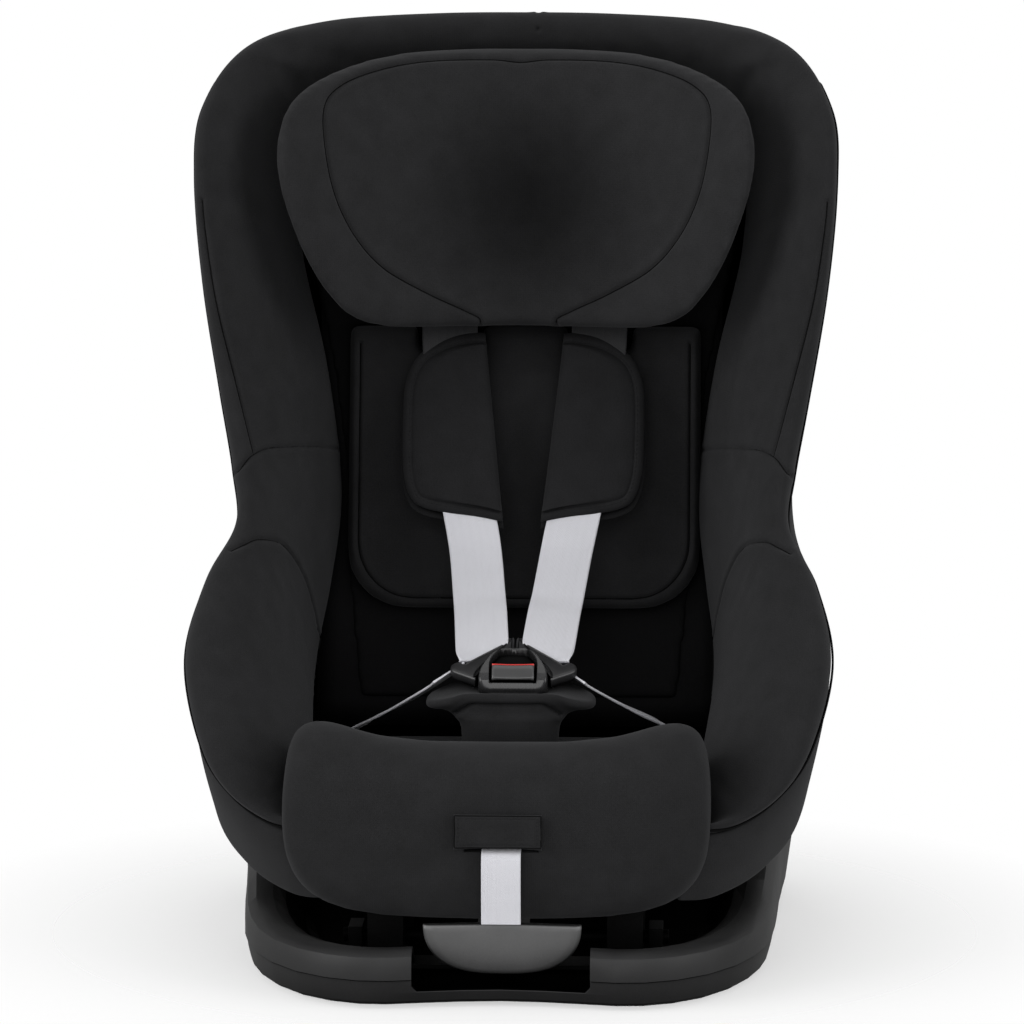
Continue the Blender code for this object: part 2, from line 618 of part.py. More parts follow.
# ---- harness ----
def build_harness():
    for side, sign in (("left", -1.0), ("right", 1.0)):
        upper = [
            on_back(0.0530, 0.4245, -0.0470), on_back(0.0530, 0.4225, -0.0200), on_back(0.0530, 0.4195, 0.0130),
            on_back(0.0520, 0.4080, 0.0310), on_back(0.0500, 0.3800, 0.0360), on_back(0.0460, 0.3400, 0.0480),
            on_back(0.0405, 0.3050, 0.0640), (0.0350, 0.0500, 0.2720),
        ]
        node(f"shoulder_strap_{side}", *ribbon(to_side(upper, sign), WEB_WIDTH, WEB_THICK), "webbing",
             "headrest")
        lower = [(0.0300, 0.0100, 0.2430), (0.0260, -0.0180, 0.2330), (0.0235, -0.0400, 0.2270)]
        node(f"lower_strap_{side}", *ribbon(to_side(lower, sign), 0.034, WEB_THICK), "webbing",
             f"tongue_{side}")
        lap = [(0.0500, -0.0600, 0.1940), (0.0700, -0.0460, 0.1790), (0.0920, -0.0260, 0.1640),
               (0.1120, -0.0020, 0.1530)]
        node(f"lap_strap_{side}", *ribbon(to_side(lap, sign), 0.024, WEB_THICK, (0.3 * sign, 0.9, 0.25)),
             "webbing", "shell")
        build_shoulder_pad(side, sign)
    yoke = back_box(-0.048, 0.048, 0.330, 0.356, -0.0560, -0.0530)
    node("harness_yoke", *yoke, "steel", "yoke")


def build_shoulder_pad(side, sign):
    """A padded sleeve over the strap: straight inner edge, rounded outer edge."""
    rings = []
    top_z, low_z = 0.4210, 0.2910
    for t in np.linspace(0.0, 1.0, 9):
        z = top_z + (low_z - top_z) * t
        q = 0.0385 + 0.030 * t**1.5
        inner = 0.0300 - 0.0190 * t
        bulge = (1 - abs(2 * t - 1) ** 2.6) ** 0.5 if 0 < t < 1 else 0.0
        outer = 0.0680 + 0.0180 * bulge - 0.004 * t
        ring = []
        for x, dq in ((inner, -0.004), (inner, 0.004), (inner + 0.012, 0.0065), (outer - 0.010, 0.0065),
                      (outer, 0.002), (outer, -0.004), (outer - 0.010, -0.0065), (inner + 0.012, -0.0065)):
            ring.append(on_back(sign * x, z, q + dq))
        rings.append(ring)
    pad = node(f"shoulder_pad_{side}", *loft(rings), "pad_fabric", "headrest")
    sleeve = [
        on_back(0.0500, 0.4300, 0.0290), on_back(0.0500, 0.3950, 0.0340), on_back(0.0480, 0.3600, 0.0420),
        on_back(0.0448, 0.3300, 0.0520), on_back(0.0400, 0.3020, 0.0650), (0.0345, 0.0440, 0.2660),
    ]
    channel = cutter(f"cutter_sleeve_{side}", *ribbon(to_side(sleeve, sign), WEB_WIDTH + 0.006, 0.0080))
    cut(pad, channel)


# ---- buckle ----
BUCKLE_TILT = math.radians(20)
BUCKLE_ALONG = (0.0, math.cos(BUCKLE_TILT), math.sin(BUCKLE_TILT))
BUCKLE_UP = (0.0, -math.sin(BUCKLE_TILT), math.cos(BUCKLE_TILT))
BUCKLE_CENTRE = np.array([0.0, -0.0900, 0.2085])


def on_buckle(x, along, up):
    return BUCKLE_CENTRE + np.array([x, 0, 0]) + along * np.array(BUCKLE_ALONG) + up * np.array(BUCKLE_UP)


def build_buckle():
    axes = ((1.0, 0.0, 0.0), BUCKLE_ALONG, BUCKLE_UP)
    housing = node("buckle_housing", *rounded_box(BUCKLE_CENTRE, (0.049, 0.048, 0.018), axes, 0.012, 4), "gloss",
                   "buckle")
    button_well = cutter("cutter_button_well", *rounded_box(on_buckle(0, 0.0035, 0.0065), (0.031, 0.0235, 0.011),
                                                           axes, 0.004, 2))
    mouth = cutter("cutter_buckle_mouth", *rounded_box(on_buckle(0, 0.0225, -0.0030), (0.038, 0.026, 0.0055), axes,
                                                      0.002, 1))
    cut(housing, button_well, mouth)
    node("buckle_button", *rounded_box(on_buckle(0, 0.0030, 0.0068), (0.0298, 0.0195, 0.0070), axes, 0.0035, 2),
         "red_plastic", "buckle_button")
    for side, sign in (("left", -1.0), ("right", 1.0)):
        outline = [(0.0008, 0.0115), (0.0008, 0.0300), (0.0120, 0.0400), (0.0440, 0.0270), (0.0450, 0.0170),
                   (0.0275, 0.0130), (0.0270, 0.0260), (0.0165, 0.0260), (0.0165, 0.0115)]
        rings = [[on_buckle(sign * x, s, up) for x, s in outline] for up in (-0.0042, -0.0018)]
        node(f"tongue_{side}", *loft(rings), "steel", f"tongue_{side}")
    stem = ((0.1600, 0.034, 0.0120), (0.1720, 0.034, 0.0130), (0.1770, 0.040, 0.0190), (0.1815, 0.056, 0.0260),
            (0.1855, 0.060, 0.0290), (0.1890, 0.057, 0.0270))
    rings = []
    for z, half_x, half_y in stem:
        ring = []
        for k in range(16):
            a = 2 * math.pi * k / 16
            cx, sy = math.cos(a), math.sin(a)
            x = half_x * math.copysign(abs(cx) ** 0.6, cx)
            y = -0.1030 + half_y * math.copysign(abs(sy) ** 0.6, sy)
            ring.append((x, y, z))
        rings.append(ring)
    crotch_pad = node("crotch_pad", *loft(rings), "pad_fabric", "buckle")
    tunnel = cutter("cutter_crotch_tunnel", *box((-0.021, -0.104, 0.150), (0.021, -0.096, 0.210)))
    cut(crotch_pad, tunnel)
    strap = ribbon([(0, -0.100, 0.0720), (0, -0.100, 0.1100), (0, -0.100, 0.1480)], 0.038, WEB_THICK)
    node("crotch_strap_lower", *strap, "webbing", "shell")
    strap = ribbon([(0, -0.100, 0.1530), (0, -0.100, 0.1700), (0, -0.100, 0.1885)], 0.038, WEB_THICK)
    node("crotch_strap_upper", *strap, "webbing", "buckle")
    anchor = box((-0.026, -0.110, 0.0790), (0.026, -0.0905, 0.0815))
    slot = cutter("cutter_anchor_slot", *box((-0.0205, -0.103, 0.070), (0.0205, -0.097, 0.090)))
    cut(node("crotch_anchor_plate", *anchor, "steel", "shell"), slot)


# ---- harness adjuster at the front of the cushion ----
def build_adjuster():
    housing = node("adjuster_housing", *box((-0.0300, -0.2440, 0.1000), (0.0300, -0.2050, 0.1310)), "plastic",
                   "shell", bevel=0.002)
    channel = cutter("cutter_adjuster_channel", *box((-0.0225, -0.300, 0.1030), (0.0225, -0.150, 0.140)))
    cut(housing, channel)
    lever = [(-0.2400, 0.1235), (-0.2400, 0.1275), (-0.2220, 0.1265), (-0.2120, 0.1220), (-0.2150, 0.1105),
             (-0.2200, 0.1100), (-0.2280, 0.1170)]
    node("adjuster_button", *slab(lever, -0.0210, 0.0210), "red_plastic", "adjuster_button")
    flap = slab([(-0.2545, 0.1080), (-0.2530, 0.1080), (-0.2530, 0.1310), (-0.2545, 0.1310)], -0.030, 0.030)
    node("adjuster_flap", *flap, "fabric", "adjuster_flap")
    tail = [(0, -0.2565, 0.1060), (0, -0.2568, 0.0900), (0, -0.2565, 0.0730), (0, -0.2555, 0.0580)]
    node("adjuster_strap_tail", *ribbon(tail, TAIL_WIDTH, WEB_THICK), "webbing", "adjuster_tail")


# ---- recline gear under the shell ----
def swing_point(angle_deg, radius=SWING_RADIUS):
    return arc_yz(SWING_CENTRE, radius, angle_deg, angle_deg, 1)[0]


def build_slide_gear():
    """Two steel rods across the shell, hung from brackets, that run in the arc slots of the rails."""
    for label, angle in zip(("front", "rear"), ROD_ANGLES_DEG):
        y, z = swing_point(angle)
        node(f"slide_rod_{label}", *rod((-0.1000, y, z), (0.1000, y, z), ROD_RADIUS), "steel", "shell")
    for side, sign in (("left", -1), ("right", 1)):
        outline = arc_yz(SWING_CENTRE, SWING_RADIUS + 0.012, -7.0, 17.0, 9)
        outline += arc_yz(SWING_CENTRE, SWING_RADIUS - 0.0265, 17.0, -7.0, 9)
        outline = [(y, min(z, 0.0855 + max(0.0, y - 0.05) * 0.12)) for y, z in outline]
        x0, x1 = sorted((sign * 0.0610, sign * 0.0670))
        bracket = node(f"slide_bracket_{side}", *slab(outline, x0, x1), "plastic", "shell")
        holes = []
        for label, angle in zip(("front", "rear"), ROD_ANGLES_DEG):
            y, z = swing_point(angle)
            ends = (sign * 0.055, y, z), (sign * 0.075, y, z)
            holes.append(cutter(f"cutter_bracket_{label}_{side}", *rod(*ends, ROD_RADIUS + 0.0004)))
        cut(bracket, *holes)


def build_carriage():
    """Rails with arc slots, on the tilt shaft at the front, tied by a rear bar, with the recline rack."""
    front_y, rear_y, foot_z = -0.1800, 0.1150, 0.0130
    top = SWING_RADIUS - 0.0105
    first = math.degrees(math.asin((front_y - SWING_CENTRE[0]) / top))
    last = math.degrees(math.asin((rear_y - SWING_CENTRE[0]) / top))
    outline = arc_yz(SWING_CENTRE, top, first, last, 15)
    outline += [(rear_y, foot_z), (-0.1700, foot_z), (front_y, foot_z + 0.010)]
    for side, sign in (("left", -1), ("right", 1)):
        x0, x1 = sorted((sign * RAIL_INNER_X, sign * RAIL_OUTER_X))
        rail = node(f"carriage_rail_{side}", *slab(outline, x0, x1), "plastic", "carriage")
        tools = []
        for label, rest in zip(("front", "rear"), ROD_ANGLES_DEG):
            half = ROD_RADIUS + 0.0007
            margin = 0.85
            ring = arc_yz(SWING_CENTRE, SWING_RADIUS + half, rest - RECLINE_DEG - margin, rest + margin, 13)
            ring += arc_yz(SWING_CENTRE, SWING_RADIUS - half, rest + margin, rest - RECLINE_DEG - margin, 13)
            tools.append(cutter(f"cutter_arc_{label}_{side}", *slab(ring, x0 - 0.01, x1 + 0.01)))
        ends = (x0 - 0.01, *TILT_PIVOT), (x1 + 0.01, *TILT_PIVOT)
        tools.append(cutter(f"cutter_pivot_{side}", *rod(*ends, 0.0056)))
        cut(rail, *tools)
    crest = SWING_RADIUS + ROD_RADIUS + 0.0015
    rack = []
    for angle in np.arange(-14.0, 3.0, 1.0):
        notch = abs(((angle + 14.0) % 4.0) - 2.0) < 0.5
        rack.append(swing_point(angle, crest + (0.005 if notch else 0.0)))
    bar_front, bar_rear, bar_top, bar_foot = 0.0880, 0.1100, 0.0280, 0.0150
    rack += [(rack[-1][0] + 0.004, bar_top), (bar_front, bar_top), (bar_rear, bar_top), (bar_rear, bar_foot),
             (bar_front, bar_foot), (rack[0][0], bar_foot)]
    bar = []
    for k in range(len(rack) - 4):
        bar.append((bar_front, bar_foot + (bar_top - bar_foot) * (0.2 + 0.6 * k / (len(rack) - 5))))
    bar += rack[-4:-1] + [(bar_front, bar_foot + 0.001)]
    half = RAIL_INNER_X - GAP
    rings = []
    for x, outline in ((-half, bar), (-0.0085, bar), (-0.008, rack), (0.008, rack), (0.0085, bar), (half, bar)):
        rings.append([(x, y, z) for y, z in outline])
    node("recline_rack", *loft(rings), "steel", "carriage")


def build_recline_handle():
    """The grey pull paddle under the front of the cushion, its stem, and the latch it lifts."""
    half, top_z, low_z, slope = 0.0545, 0.0540, 0.0205, 0.22
    ring = []
    for a in np.radians(np.linspace(0, 180, 15)):
        cx, sz = math.cos(a), math.sin(a)
        ring.append((half * math.copysign(abs(cx) ** 0.75, cx), top_z - (top_z - low_z) * abs(sz) ** 0.85))
    rings = []
    for depth, k in ((-0.2360, 0.93), (-0.2335, 1.0), (-0.2270, 1.0), (-0.2255, 0.97)):
        rings.append([(x * k, depth + slope * (top_z - z) - 0.002, 0.042 + (z - 0.042) * k) for x, z in ring])
    for depth in (-0.2240, -0.1500):
        stem = []
        for x, z in ring:
            stem.append((x * 0.33, depth, 0.0450 + (z - 0.040) * 0.22))
        rings.append(stem)
    node("recline_handle", *loft(rings), "grey_plastic", "recline_handle")
    root, tip = SWING_RADIUS - 0.016, SWING_RADIUS + ROD_RADIUS
    tooth = [swing_point(a, r) for a, r in ((-1.6, root), (1.6, root), (1.0, tip), (-1.0, tip))]
    node("recline_latch_tooth", *slab(tooth, -0.0070, 0.0070), "steel", "recline_latch")


# ---- base ----
def base_outline(inset, flare=0.0, count=46):
    """Plan outline of the base, moved in by inset; flare widens it towards the rear."""
    right = spline(BASE_PLAN, count // 2 + 1)
    loop = np.concatenate([right, (right * np.array([-1.0, 1.0]))[-2:0:-1]])
    along = np.roll(loop, -1, axis=0) - np.roll(loop, 1, axis=0)
    outward = np.stack([along[:, 1], -along[:, 0]], axis=1)
    outward /= np.linalg.norm(outward, axis=1)[:, None]
    share = np.clip((loop[:, 1] + 0.05) / 0.15, 0.0, 1.0)[:, None]
    return loop - outward * (inset - flare * share)


def rim_height(y):
    """Top of the base: low at the front, rising to the belt deck at the rear."""
    t = min(max((y + 0.21) / 0.34, 0.0), 1.0)
    return 0.0395 + 0.0430 * t * t * (3 - 2 * t)


def build_base_shells():
    levels = ((FOOT_HEIGHT + GAP, 0.007), (0.0045, 0.004), (0.0110, 0.0025), (SEAM_Z - GAP, 0.0010))
    inside = ((SEAM_Z - GAP, 0.0048), (0.0100, 0.0080), (TRAY_FLOOR_Z, 0.0170))
    rings = [[(x, y, z) for x, y in base_outline(inset)] for z, inset in levels + inside]
    tray = node("base_tray", *loft(rings), "plastic", "base")
    section = ((0.0, 0.0), (0.45, 0.0), (0.82, 0.0020), (1.0, 0.0080), (1.0, 0.0200), (0.84, 0.0290), (0.25, 0.0430),
               (0.10, 0.0500))
    lower = ((0.0, 0.0500), (0.14, 0.0405), (0.66, 0.0290), (0.78, 0.0210), (0.78, 0.0095), (0.0, 0.0035))
    rings = []
    for share, inset in section + lower:
        ring = []
        for x, y in base_outline(inset, flare=0.009 * share):
            ring.append((x, y, SEAM_Z + share * (rim_height(y) - SEAM_Z)))
        rings.append(ring)
    upper = node("base_upper", *loft(rings, caps=False, closed_path=True), "plastic", "base")
    recess = cutter("cutter_recess", *rounded_box((0, -0.240, 0.0618), (0.122, 0.100, 0.100),
                                                 ((1, 0, 0), (0, 1, 0), (0, 0, 1)), 0.010, 3))
    cut(upper, recess)
    cut(tray, recess)


def build_base_fittings():
    for side, sign in (("left", -1), ("right", 1)):
        pad = rounded_box((sign * 0.125, -0.025, FOOT_HEIGHT / 2), (0.028, 0.330, FOOT_HEIGHT),
                          ((1, 0, 0), (0, 1, 0), (0, 0, 1)), 0.008, 2)
        node(f"foot_strip_{side}", *pad, "rubber", "base")
    build_tilt_mount()
    build_belt_deck()


def build_tilt_mount():
    """The tilt shaft in its saddle: two upright lugs on one floor plate."""
    lug, foot, top, inner, outer = 0.0365, 0.0071, 0.0100, 0.1000, 0.1100
    section = [(-outer, foot), (outer, foot), (outer, lug), (inner, lug), (inner, top)]
    section += [(-inner, top), (-inner, lug), (-outer, lug)]
    mount = node("tilt_saddle", *loft([[(x, y, z) for x, z in section] for y in (-0.170, -0.140)]), "plastic", "base")
    cut(mount, cutter("cutter_saddle", *rod((-0.12, *TILT_PIVOT), (0.12, *TILT_PIVOT), 0.0054)))
    node("tilt_shaft", *rod((-0.114, *TILT_PIVOT), (0.114, *TILT_PIVOT), 0.0050), "steel", "base")
    latch = [(0.1120, 0.0300), (0.1120, 0.0330), (0.1220, 0.0370), (0.1380, 0.0370), (0.1380, 0.0300)]
    node("tilt_latch", *slab(latch, -0.0200, 0.0200), "grey_plastic", "tilt_latch")


def build_belt_deck():
    """The vehicle-belt bridge across the rear of the base, its guides and its clamp levers."""
    foot, under, top, half = 0.0071, 0.0715, 0.0765, 0.1210
    section = [(-half, under), (-0.0875, under), (-0.0875, foot), (-0.0675, foot), (-0.0675, under)]
    section = section + [(-x, z) for x, z in section[::-1]] + [(half, top), (-half, top)]
    rings = [[(x, y, z) for x, z in section] for y in (0.1250, 0.1520)]
    node("belt_deck", *loft(rings), "plastic", "base")
    for side, sign in (("left", -1), ("right", 1)):
        x0, x1 = sorted((sign * 0.1040, sign * 0.1190))
        node(f"belt_guide_{side}", *box((x0, 0.1290, top + GAP), (x1, 0.1480, 0.0960)), "red_plastic", "base",
             bevel=0.0015)
        lever = [(0.1340, 0.0785), (0.1500, 0.0785), (0.1500, 0.0865), (0.1340, 0.0865)]
        x0, x1 = sorted((sign * 0.0480, sign * 0.1000))
        node(f"lock_off_lever_{side}", *slab(lever, x0, x1), "red_plastic", f"lock_off_{side}", bevel=0.002)


clear_scene()
MATERIALS = make_materials()
EMPTIES = make_body_empties()
SLOT_CUTTERS, STRAP_HOLE_CUTTER, NOTCH_CUTTERS = make_slot_cutters()
build_base_shells()
build_base_fittings()
build_carriage()
build_slide_gear()
build_recline_handle()
build_shell()
build_rim_pads()
build_side_skirts()
build_back_pads()
build_insert()
build_cushion()
build_headrest()
build_back_cover()
build_harness()
build_buckle()
build_adjuster()
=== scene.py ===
"""Looks of a child car seat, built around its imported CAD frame.

Metres, +Z up, the seat faces -Y. Every piece is placed from the frame's boxes and rides on one of its bodies.
"""
import json
import math

import bmesh
import bpy
import numpy as np
from mathutils import Matrix, Vector
from mathutils.bvhtree import BVHTree
from mathutils.kdtree import KDTree


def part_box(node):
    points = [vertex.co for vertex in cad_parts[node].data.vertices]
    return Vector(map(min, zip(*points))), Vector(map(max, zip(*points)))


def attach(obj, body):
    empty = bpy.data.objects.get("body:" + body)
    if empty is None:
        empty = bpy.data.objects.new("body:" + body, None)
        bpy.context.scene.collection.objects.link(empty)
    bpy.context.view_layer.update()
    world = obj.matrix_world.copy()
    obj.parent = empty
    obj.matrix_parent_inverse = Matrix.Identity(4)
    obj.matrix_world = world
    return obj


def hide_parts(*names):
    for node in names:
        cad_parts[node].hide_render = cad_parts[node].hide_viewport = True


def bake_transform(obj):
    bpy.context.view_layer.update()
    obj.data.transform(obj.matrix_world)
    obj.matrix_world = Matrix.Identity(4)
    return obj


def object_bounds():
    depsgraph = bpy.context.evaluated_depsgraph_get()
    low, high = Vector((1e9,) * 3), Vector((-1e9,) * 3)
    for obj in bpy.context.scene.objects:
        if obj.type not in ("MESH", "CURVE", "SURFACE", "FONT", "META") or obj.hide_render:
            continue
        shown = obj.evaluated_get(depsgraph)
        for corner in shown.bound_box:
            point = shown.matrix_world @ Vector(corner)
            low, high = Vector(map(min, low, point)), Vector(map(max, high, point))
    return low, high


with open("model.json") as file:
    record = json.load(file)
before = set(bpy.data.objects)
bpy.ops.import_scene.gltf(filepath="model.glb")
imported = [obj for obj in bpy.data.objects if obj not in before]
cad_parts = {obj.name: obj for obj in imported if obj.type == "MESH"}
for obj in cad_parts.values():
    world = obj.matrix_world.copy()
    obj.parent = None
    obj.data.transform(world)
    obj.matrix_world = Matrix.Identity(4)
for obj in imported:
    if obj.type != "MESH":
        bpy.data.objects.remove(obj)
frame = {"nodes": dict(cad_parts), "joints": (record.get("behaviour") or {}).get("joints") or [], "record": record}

CAD_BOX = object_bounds()
SCENE = bpy.context.scene
NODES = frame["nodes"]

LEAN_AXIS = next(j["axis"] for j in frame["joints"] if j["name"] == "headrest_height")
BACK_SLOPE = LEAN_AXIS[1] / LEAN_AXIS[2]
BACK_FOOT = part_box("backrest_pad")[0]
WEB_THICK = 0.0014
SIDES = (("left", -1.0), ("right", 1.0))
# Soft boxes: name, place, size, power
SOFT_BOXES = (
    ("left", (-2.5, -1.3, 1.2), 2.2, 55.0),
    ("right", (2.5, -1.3, 1.1), 2.2, 38.0),
    ("front", (0.0, -3.2, 0.9), 2.0, 30.0),
    ("top", (0.0, 0.2, 2.6), 1.8, 9.0),
    ("rear", (0.0, 3.0, 1.6), 2.4, 5.0),
)

# Guide points of the right-hand rim, from the front of the seat up to the top centre:
# inner foot, crest, outer seam, outer hem.
RIM_GUIDES = (
    ((0.112, -0.235, 0.112), (0.118, -0.243, 0.123), (0.124, -0.24, 0.12), (0.121, -0.235, 0.07)),
    ((0.138, -0.212, 0.114), (0.148, -0.231, 0.124), (0.157, -0.2285, 0.119), (0.147, -0.2145, 0.068)),
    ((0.138, -0.1875, 0.128), (0.168, -0.2245, 0.137), (0.188, -0.2075, 0.135), (0.181, -0.1735, 0.08)),
    ((0.134, -0.1475, 0.15), (0.177, -0.2055, 0.167), (0.212, -0.1755, 0.163), (0.207, -0.1275, 0.11)),
    ((0.138, -0.0875, 0.165), (0.186, -0.1655, 0.214), (0.2275, -0.1255, 0.215), (0.222, -0.0575, 0.19)),
    ((0.142, -0.0225, 0.176), (0.182, -0.1175, 0.258), (0.217, -0.0775, 0.262), (0.215, -0.0075, 0.25)),
    ((0.143, 0.0375, 0.195), (0.174, -0.0775, 0.292), (0.198, -0.0395, 0.297), (0.203, 0.0225, 0.29)),
    ((0.137, 0.0905, 0.235), (0.174, -0.0475, 0.332), (0.2025, -0.0115, 0.336), (0.202, 0.0525, 0.33)),
    ((0.13, 0.1205, 0.3), (0.184, -0.0255, 0.388), (0.2125, 0.0025, 0.39), (0.21, 0.0725, 0.385)),
    ((0.142, 0.1445, 0.39), (0.198, -0.0155, 0.465), (0.225, 0.0125, 0.467), (0.219, 0.0875, 0.46)),
    ((0.163, 0.1675, 0.48), (0.206, -0.0075, 0.54), (0.2315, 0.0225, 0.543), (0.226, 0.1005, 0.54)),
    ((0.164, 0.1845, 0.545), (0.202, 0.0185, 0.588), (0.2275, 0.0475, 0.593), (0.221, 0.1225, 0.59)),
    ((0.146, 0.1945, 0.585), (0.18, 0.0725, 0.62), (0.198, 0.1005, 0.635), (0.194, 0.1605, 0.631)),
    ((0.105, 0.1995, 0.604), (0.132, 0.1355, 0.634), (0.141, 0.1605, 0.651), (0.139, 0.1995, 0.647)),
    ((0.052, 0.2015, 0.612), (0.062, 0.1685, 0.641), (0.064, 0.1885, 0.6545), (0.063, 0.2205, 0.65)),
    ((0.0, 0.2025, 0.614), (0.0, 0.1765, 0.642), (0.0, 0.1945, 0.655), (0.0, 0.2245, 0.65)),
)
SKIRT_END = 13.2  # the guide row where the outer skirt runs out
SKIRT_TAPER = 9.0  # rings over which it narrows
SEAM_END = 11.4  # the guide row where its near-black cord, painted seam shadow, runs out

# Outlines and seams on the right-hand side, as (x, z) seen from the front.
HEADREST_OUTLINE = (
    (0.0, 0.429), (0.05, 0.429), (0.092, 0.431), (0.118, 0.439), (0.135, 0.456), (0.151, 0.483),
    (0.165, 0.52), (0.1725, 0.553), (0.17, 0.583), (0.158, 0.604), (0.13, 0.619), (0.09, 0.628),
    (0.04, 0.6305), (0.0, 0.6305),
)
HEADREST_SEAM = (
    (0.0, 0.6215), (0.022, 0.6235), (0.068, 0.623), (0.101, 0.618), (0.127, 0.6085), (0.139, 0.593),
    (0.1375, 0.56), (0.13, 0.527), (0.116, 0.498), (0.096, 0.4745), (0.066, 0.4555), (0.04, 0.4425),
    (0.029, 0.436), (0.028, 0.431),
)
EAR_SEAM = (
    (0.1985, 0.2882), (0.189, 0.2912), (0.1785, 0.2925), (0.165, 0.283), (0.154, 0.257), (0.1475, 0.228),
    (0.144, 0.205), (0.1395, 0.18), (0.137, 0.166),
)
WAIST_SEAM = (
    (0.204, 0.333), (0.199, 0.337), (0.192, 0.344), (0.186, 0.349), (0.176, 0.351), (0.16, 0.3465),
    (0.145, 0.34), (0.134, 0.333),
)
SIDE_SEAM = ((0.2245, 0.53), (0.2225, 0.5085), (0.2145, 0.458), (0.2, 0.401), (0.186, 0.35))
SHOULDER_PAD = (
    (0.026, 0.4215), (0.033, 0.422), (0.051, 0.419), (0.066, 0.4125), (0.0765, 0.404), (0.0825, 0.393),
    (0.0855, 0.38), (0.086, 0.35), (0.0845, 0.322), (0.0785, 0.305), (0.068, 0.2985), (0.052, 0.2955),
    (0.03, 0.293), (0.0105, 0.2895),
)


def back_point(x, z, off):
    """A point off metres in front of the backrest surface."""
    return Vector((x, BACK_FOOT.y + (z - BACK_FOOT.z) * BACK_SLOPE - off, z))


# ---- curves ----
def spline(rows, step):
    """Catmull-Rom curve through rows, with points about step apart."""
    rows = np.asarray(rows, float)
    last = len(rows) - 1
    made = []
    for i in range(last):
        a, b, c, d = (rows[min(max(k, 0), last)] for k in (i - 1, i, i + 1, i + 2))
        count = max(1, int(round(np.linalg.norm(c - b) / step)))
        square, cube = 2 * a - 5 * b + 4 * c - d, 3 * b - a - 3 * c + d
        for f in np.arange(count) / count:
            made.append(0.5 * (2 * b + (c - a) * f + square * f**2 + cube * f**3))
    return np.array(made + [rows[-1]])


def rounded(control, count):
    """Clamped cubic B-spline drawn inside a control polygon."""
    control = np.asarray(control, float)
    n, degree = len(control), 3
    knots = np.concatenate([np.zeros(degree), np.linspace(0, 1, n - degree + 1), np.ones(degree)])
    made = []
    for t in np.linspace(0, 1, count):
        span = min(max(int(np.searchsorted(knots, t, side="right")) - 1, degree), n - 1)
        d = [control[span - degree + j] for j in range(degree + 1)]
        for r in range(1, degree + 1):
            for j in range(degree, r - 1, -1):
                low = knots[span - degree + j]
                share = (t - low) / (knots[j + 1 + span - r] - low)
                d[j] = (1 - share) * d[j - 1] + share * d[j]
        made.append(d[degree])
    return np.array(made)


def unit(v):
    return v / np.linalg.norm(v)


def smooth_step(v, low, high):
    t = np.clip((v - low) / (high - low), 0.0, 1.0)
    return t * t * (3 - 2 * t)


def to_side(points, sign):
    return np.asarray(points, float) * np.array([sign] + [1.0] * (np.shape(points)[-1] - 1))


def both_halves(right):
    """A curve that starts on the centre line, run on over both sides."""
    right = np.asarray(right, float)
    return np.concatenate([to_side(right, -1.0)[:0:-1], right])


# ---- meshes ----
def add(name, data):
    obj = bpy.data.objects.new(name, data)
    SCENE.collection.objects.link(obj)
    return obj


def add_work(name, work, paint):
    """A bmesh as a new object."""
    mesh = bpy.data.meshes.new(name)
    work.to_mesh(mesh)
    work.free()
    mesh.materials.clear()
    mesh.materials.append(paint)
    return add(name, mesh)


def make(name, points, faces, material, uvs=None):
    mesh = bpy.data.meshes.new(name)
    mesh.from_pydata([tuple(map(float, p)) for p in points], [], [tuple(map(int, f)) for f in faces])
    if uvs is not None:
        layer = mesh.uv_layers.new(name="strap")
        for loop in mesh.loops:
            layer.data[loop.index].uv = uvs[loop.vertex_index]
    mesh.shade_smooth()
    mesh.materials.append(MATERIALS[material])
    return add(name, mesh)


def settle(obj):
    """Turns the modifiers of obj into its mesh."""
    graph = bpy.context.evaluated_depsgraph_get()
    graph.update()
    made = bpy.data.meshes.new_from_object(obj.evaluated_get(graph))
    old = obj.data
    obj.modifiers.clear()
    obj.data = made
    bpy.data.meshes.remove(old)
    made.shade_smooth()
    return obj


def soften(obj, rounds, factor=0.5):
    smooth = obj.modifiers.new("Soften", "SMOOTH")
    smooth.factor = factor
    smooth.iterations = rounds
    return settle(obj)


def divide(obj, levels=1):
    fine = obj.modifiers.new("Fine", "SUBSURF")
    fine.levels = fine.render_levels = levels
    return settle(obj)


def remesh(obj, voxel):
    paint = obj.data.materials[0]
    even = obj.modifiers.new("Even", "REMESH")
    even.mode = "VOXEL"
    even.voxel_size = voxel
    settle(obj)
    obj.data.materials.clear()
    obj.data.materials.append(paint)
    return obj


def even_copy(name, node, voxel, rounds, material):
    """A CAD solid copied into an even, softened mesh."""
    work = bmesh.new()
    work.from_mesh(NODES[node].data)
    bmesh.ops.remove_doubles(work, verts=work.verts, dist=1e-5)
    return soften(remesh(add_work(name, work, MATERIALS[material]), voxel), rounds)


def coords(obj, what="co"):
    flat = np.empty(len(obj.data.vertices) * 3, np.float32)
    obj.data.vertices.foreach_get(what, flat)
    return flat.reshape(-1, 3).astype(float)


def set_coords(obj, points):
    obj.data.vertices.foreach_set("co", points.astype(np.float32).ravel())
    obj.data.update()


def tree_of(lines):
    points = np.concatenate([np.asarray(line) for line in lines])
    tree = KDTree(len(points))
    for i, p in enumerate(points):
        tree.insert(p, i)
    tree.balance()
    return tree


def distances(points, lines):
    tree = tree_of(lines)
    return np.array([tree.find(p)[2] for p in points])


def surface(obj):
    return BVHTree.FromPolygons([v.co for v in obj.data.vertices], [p.vertices[:] for p in obj.data.polygons])


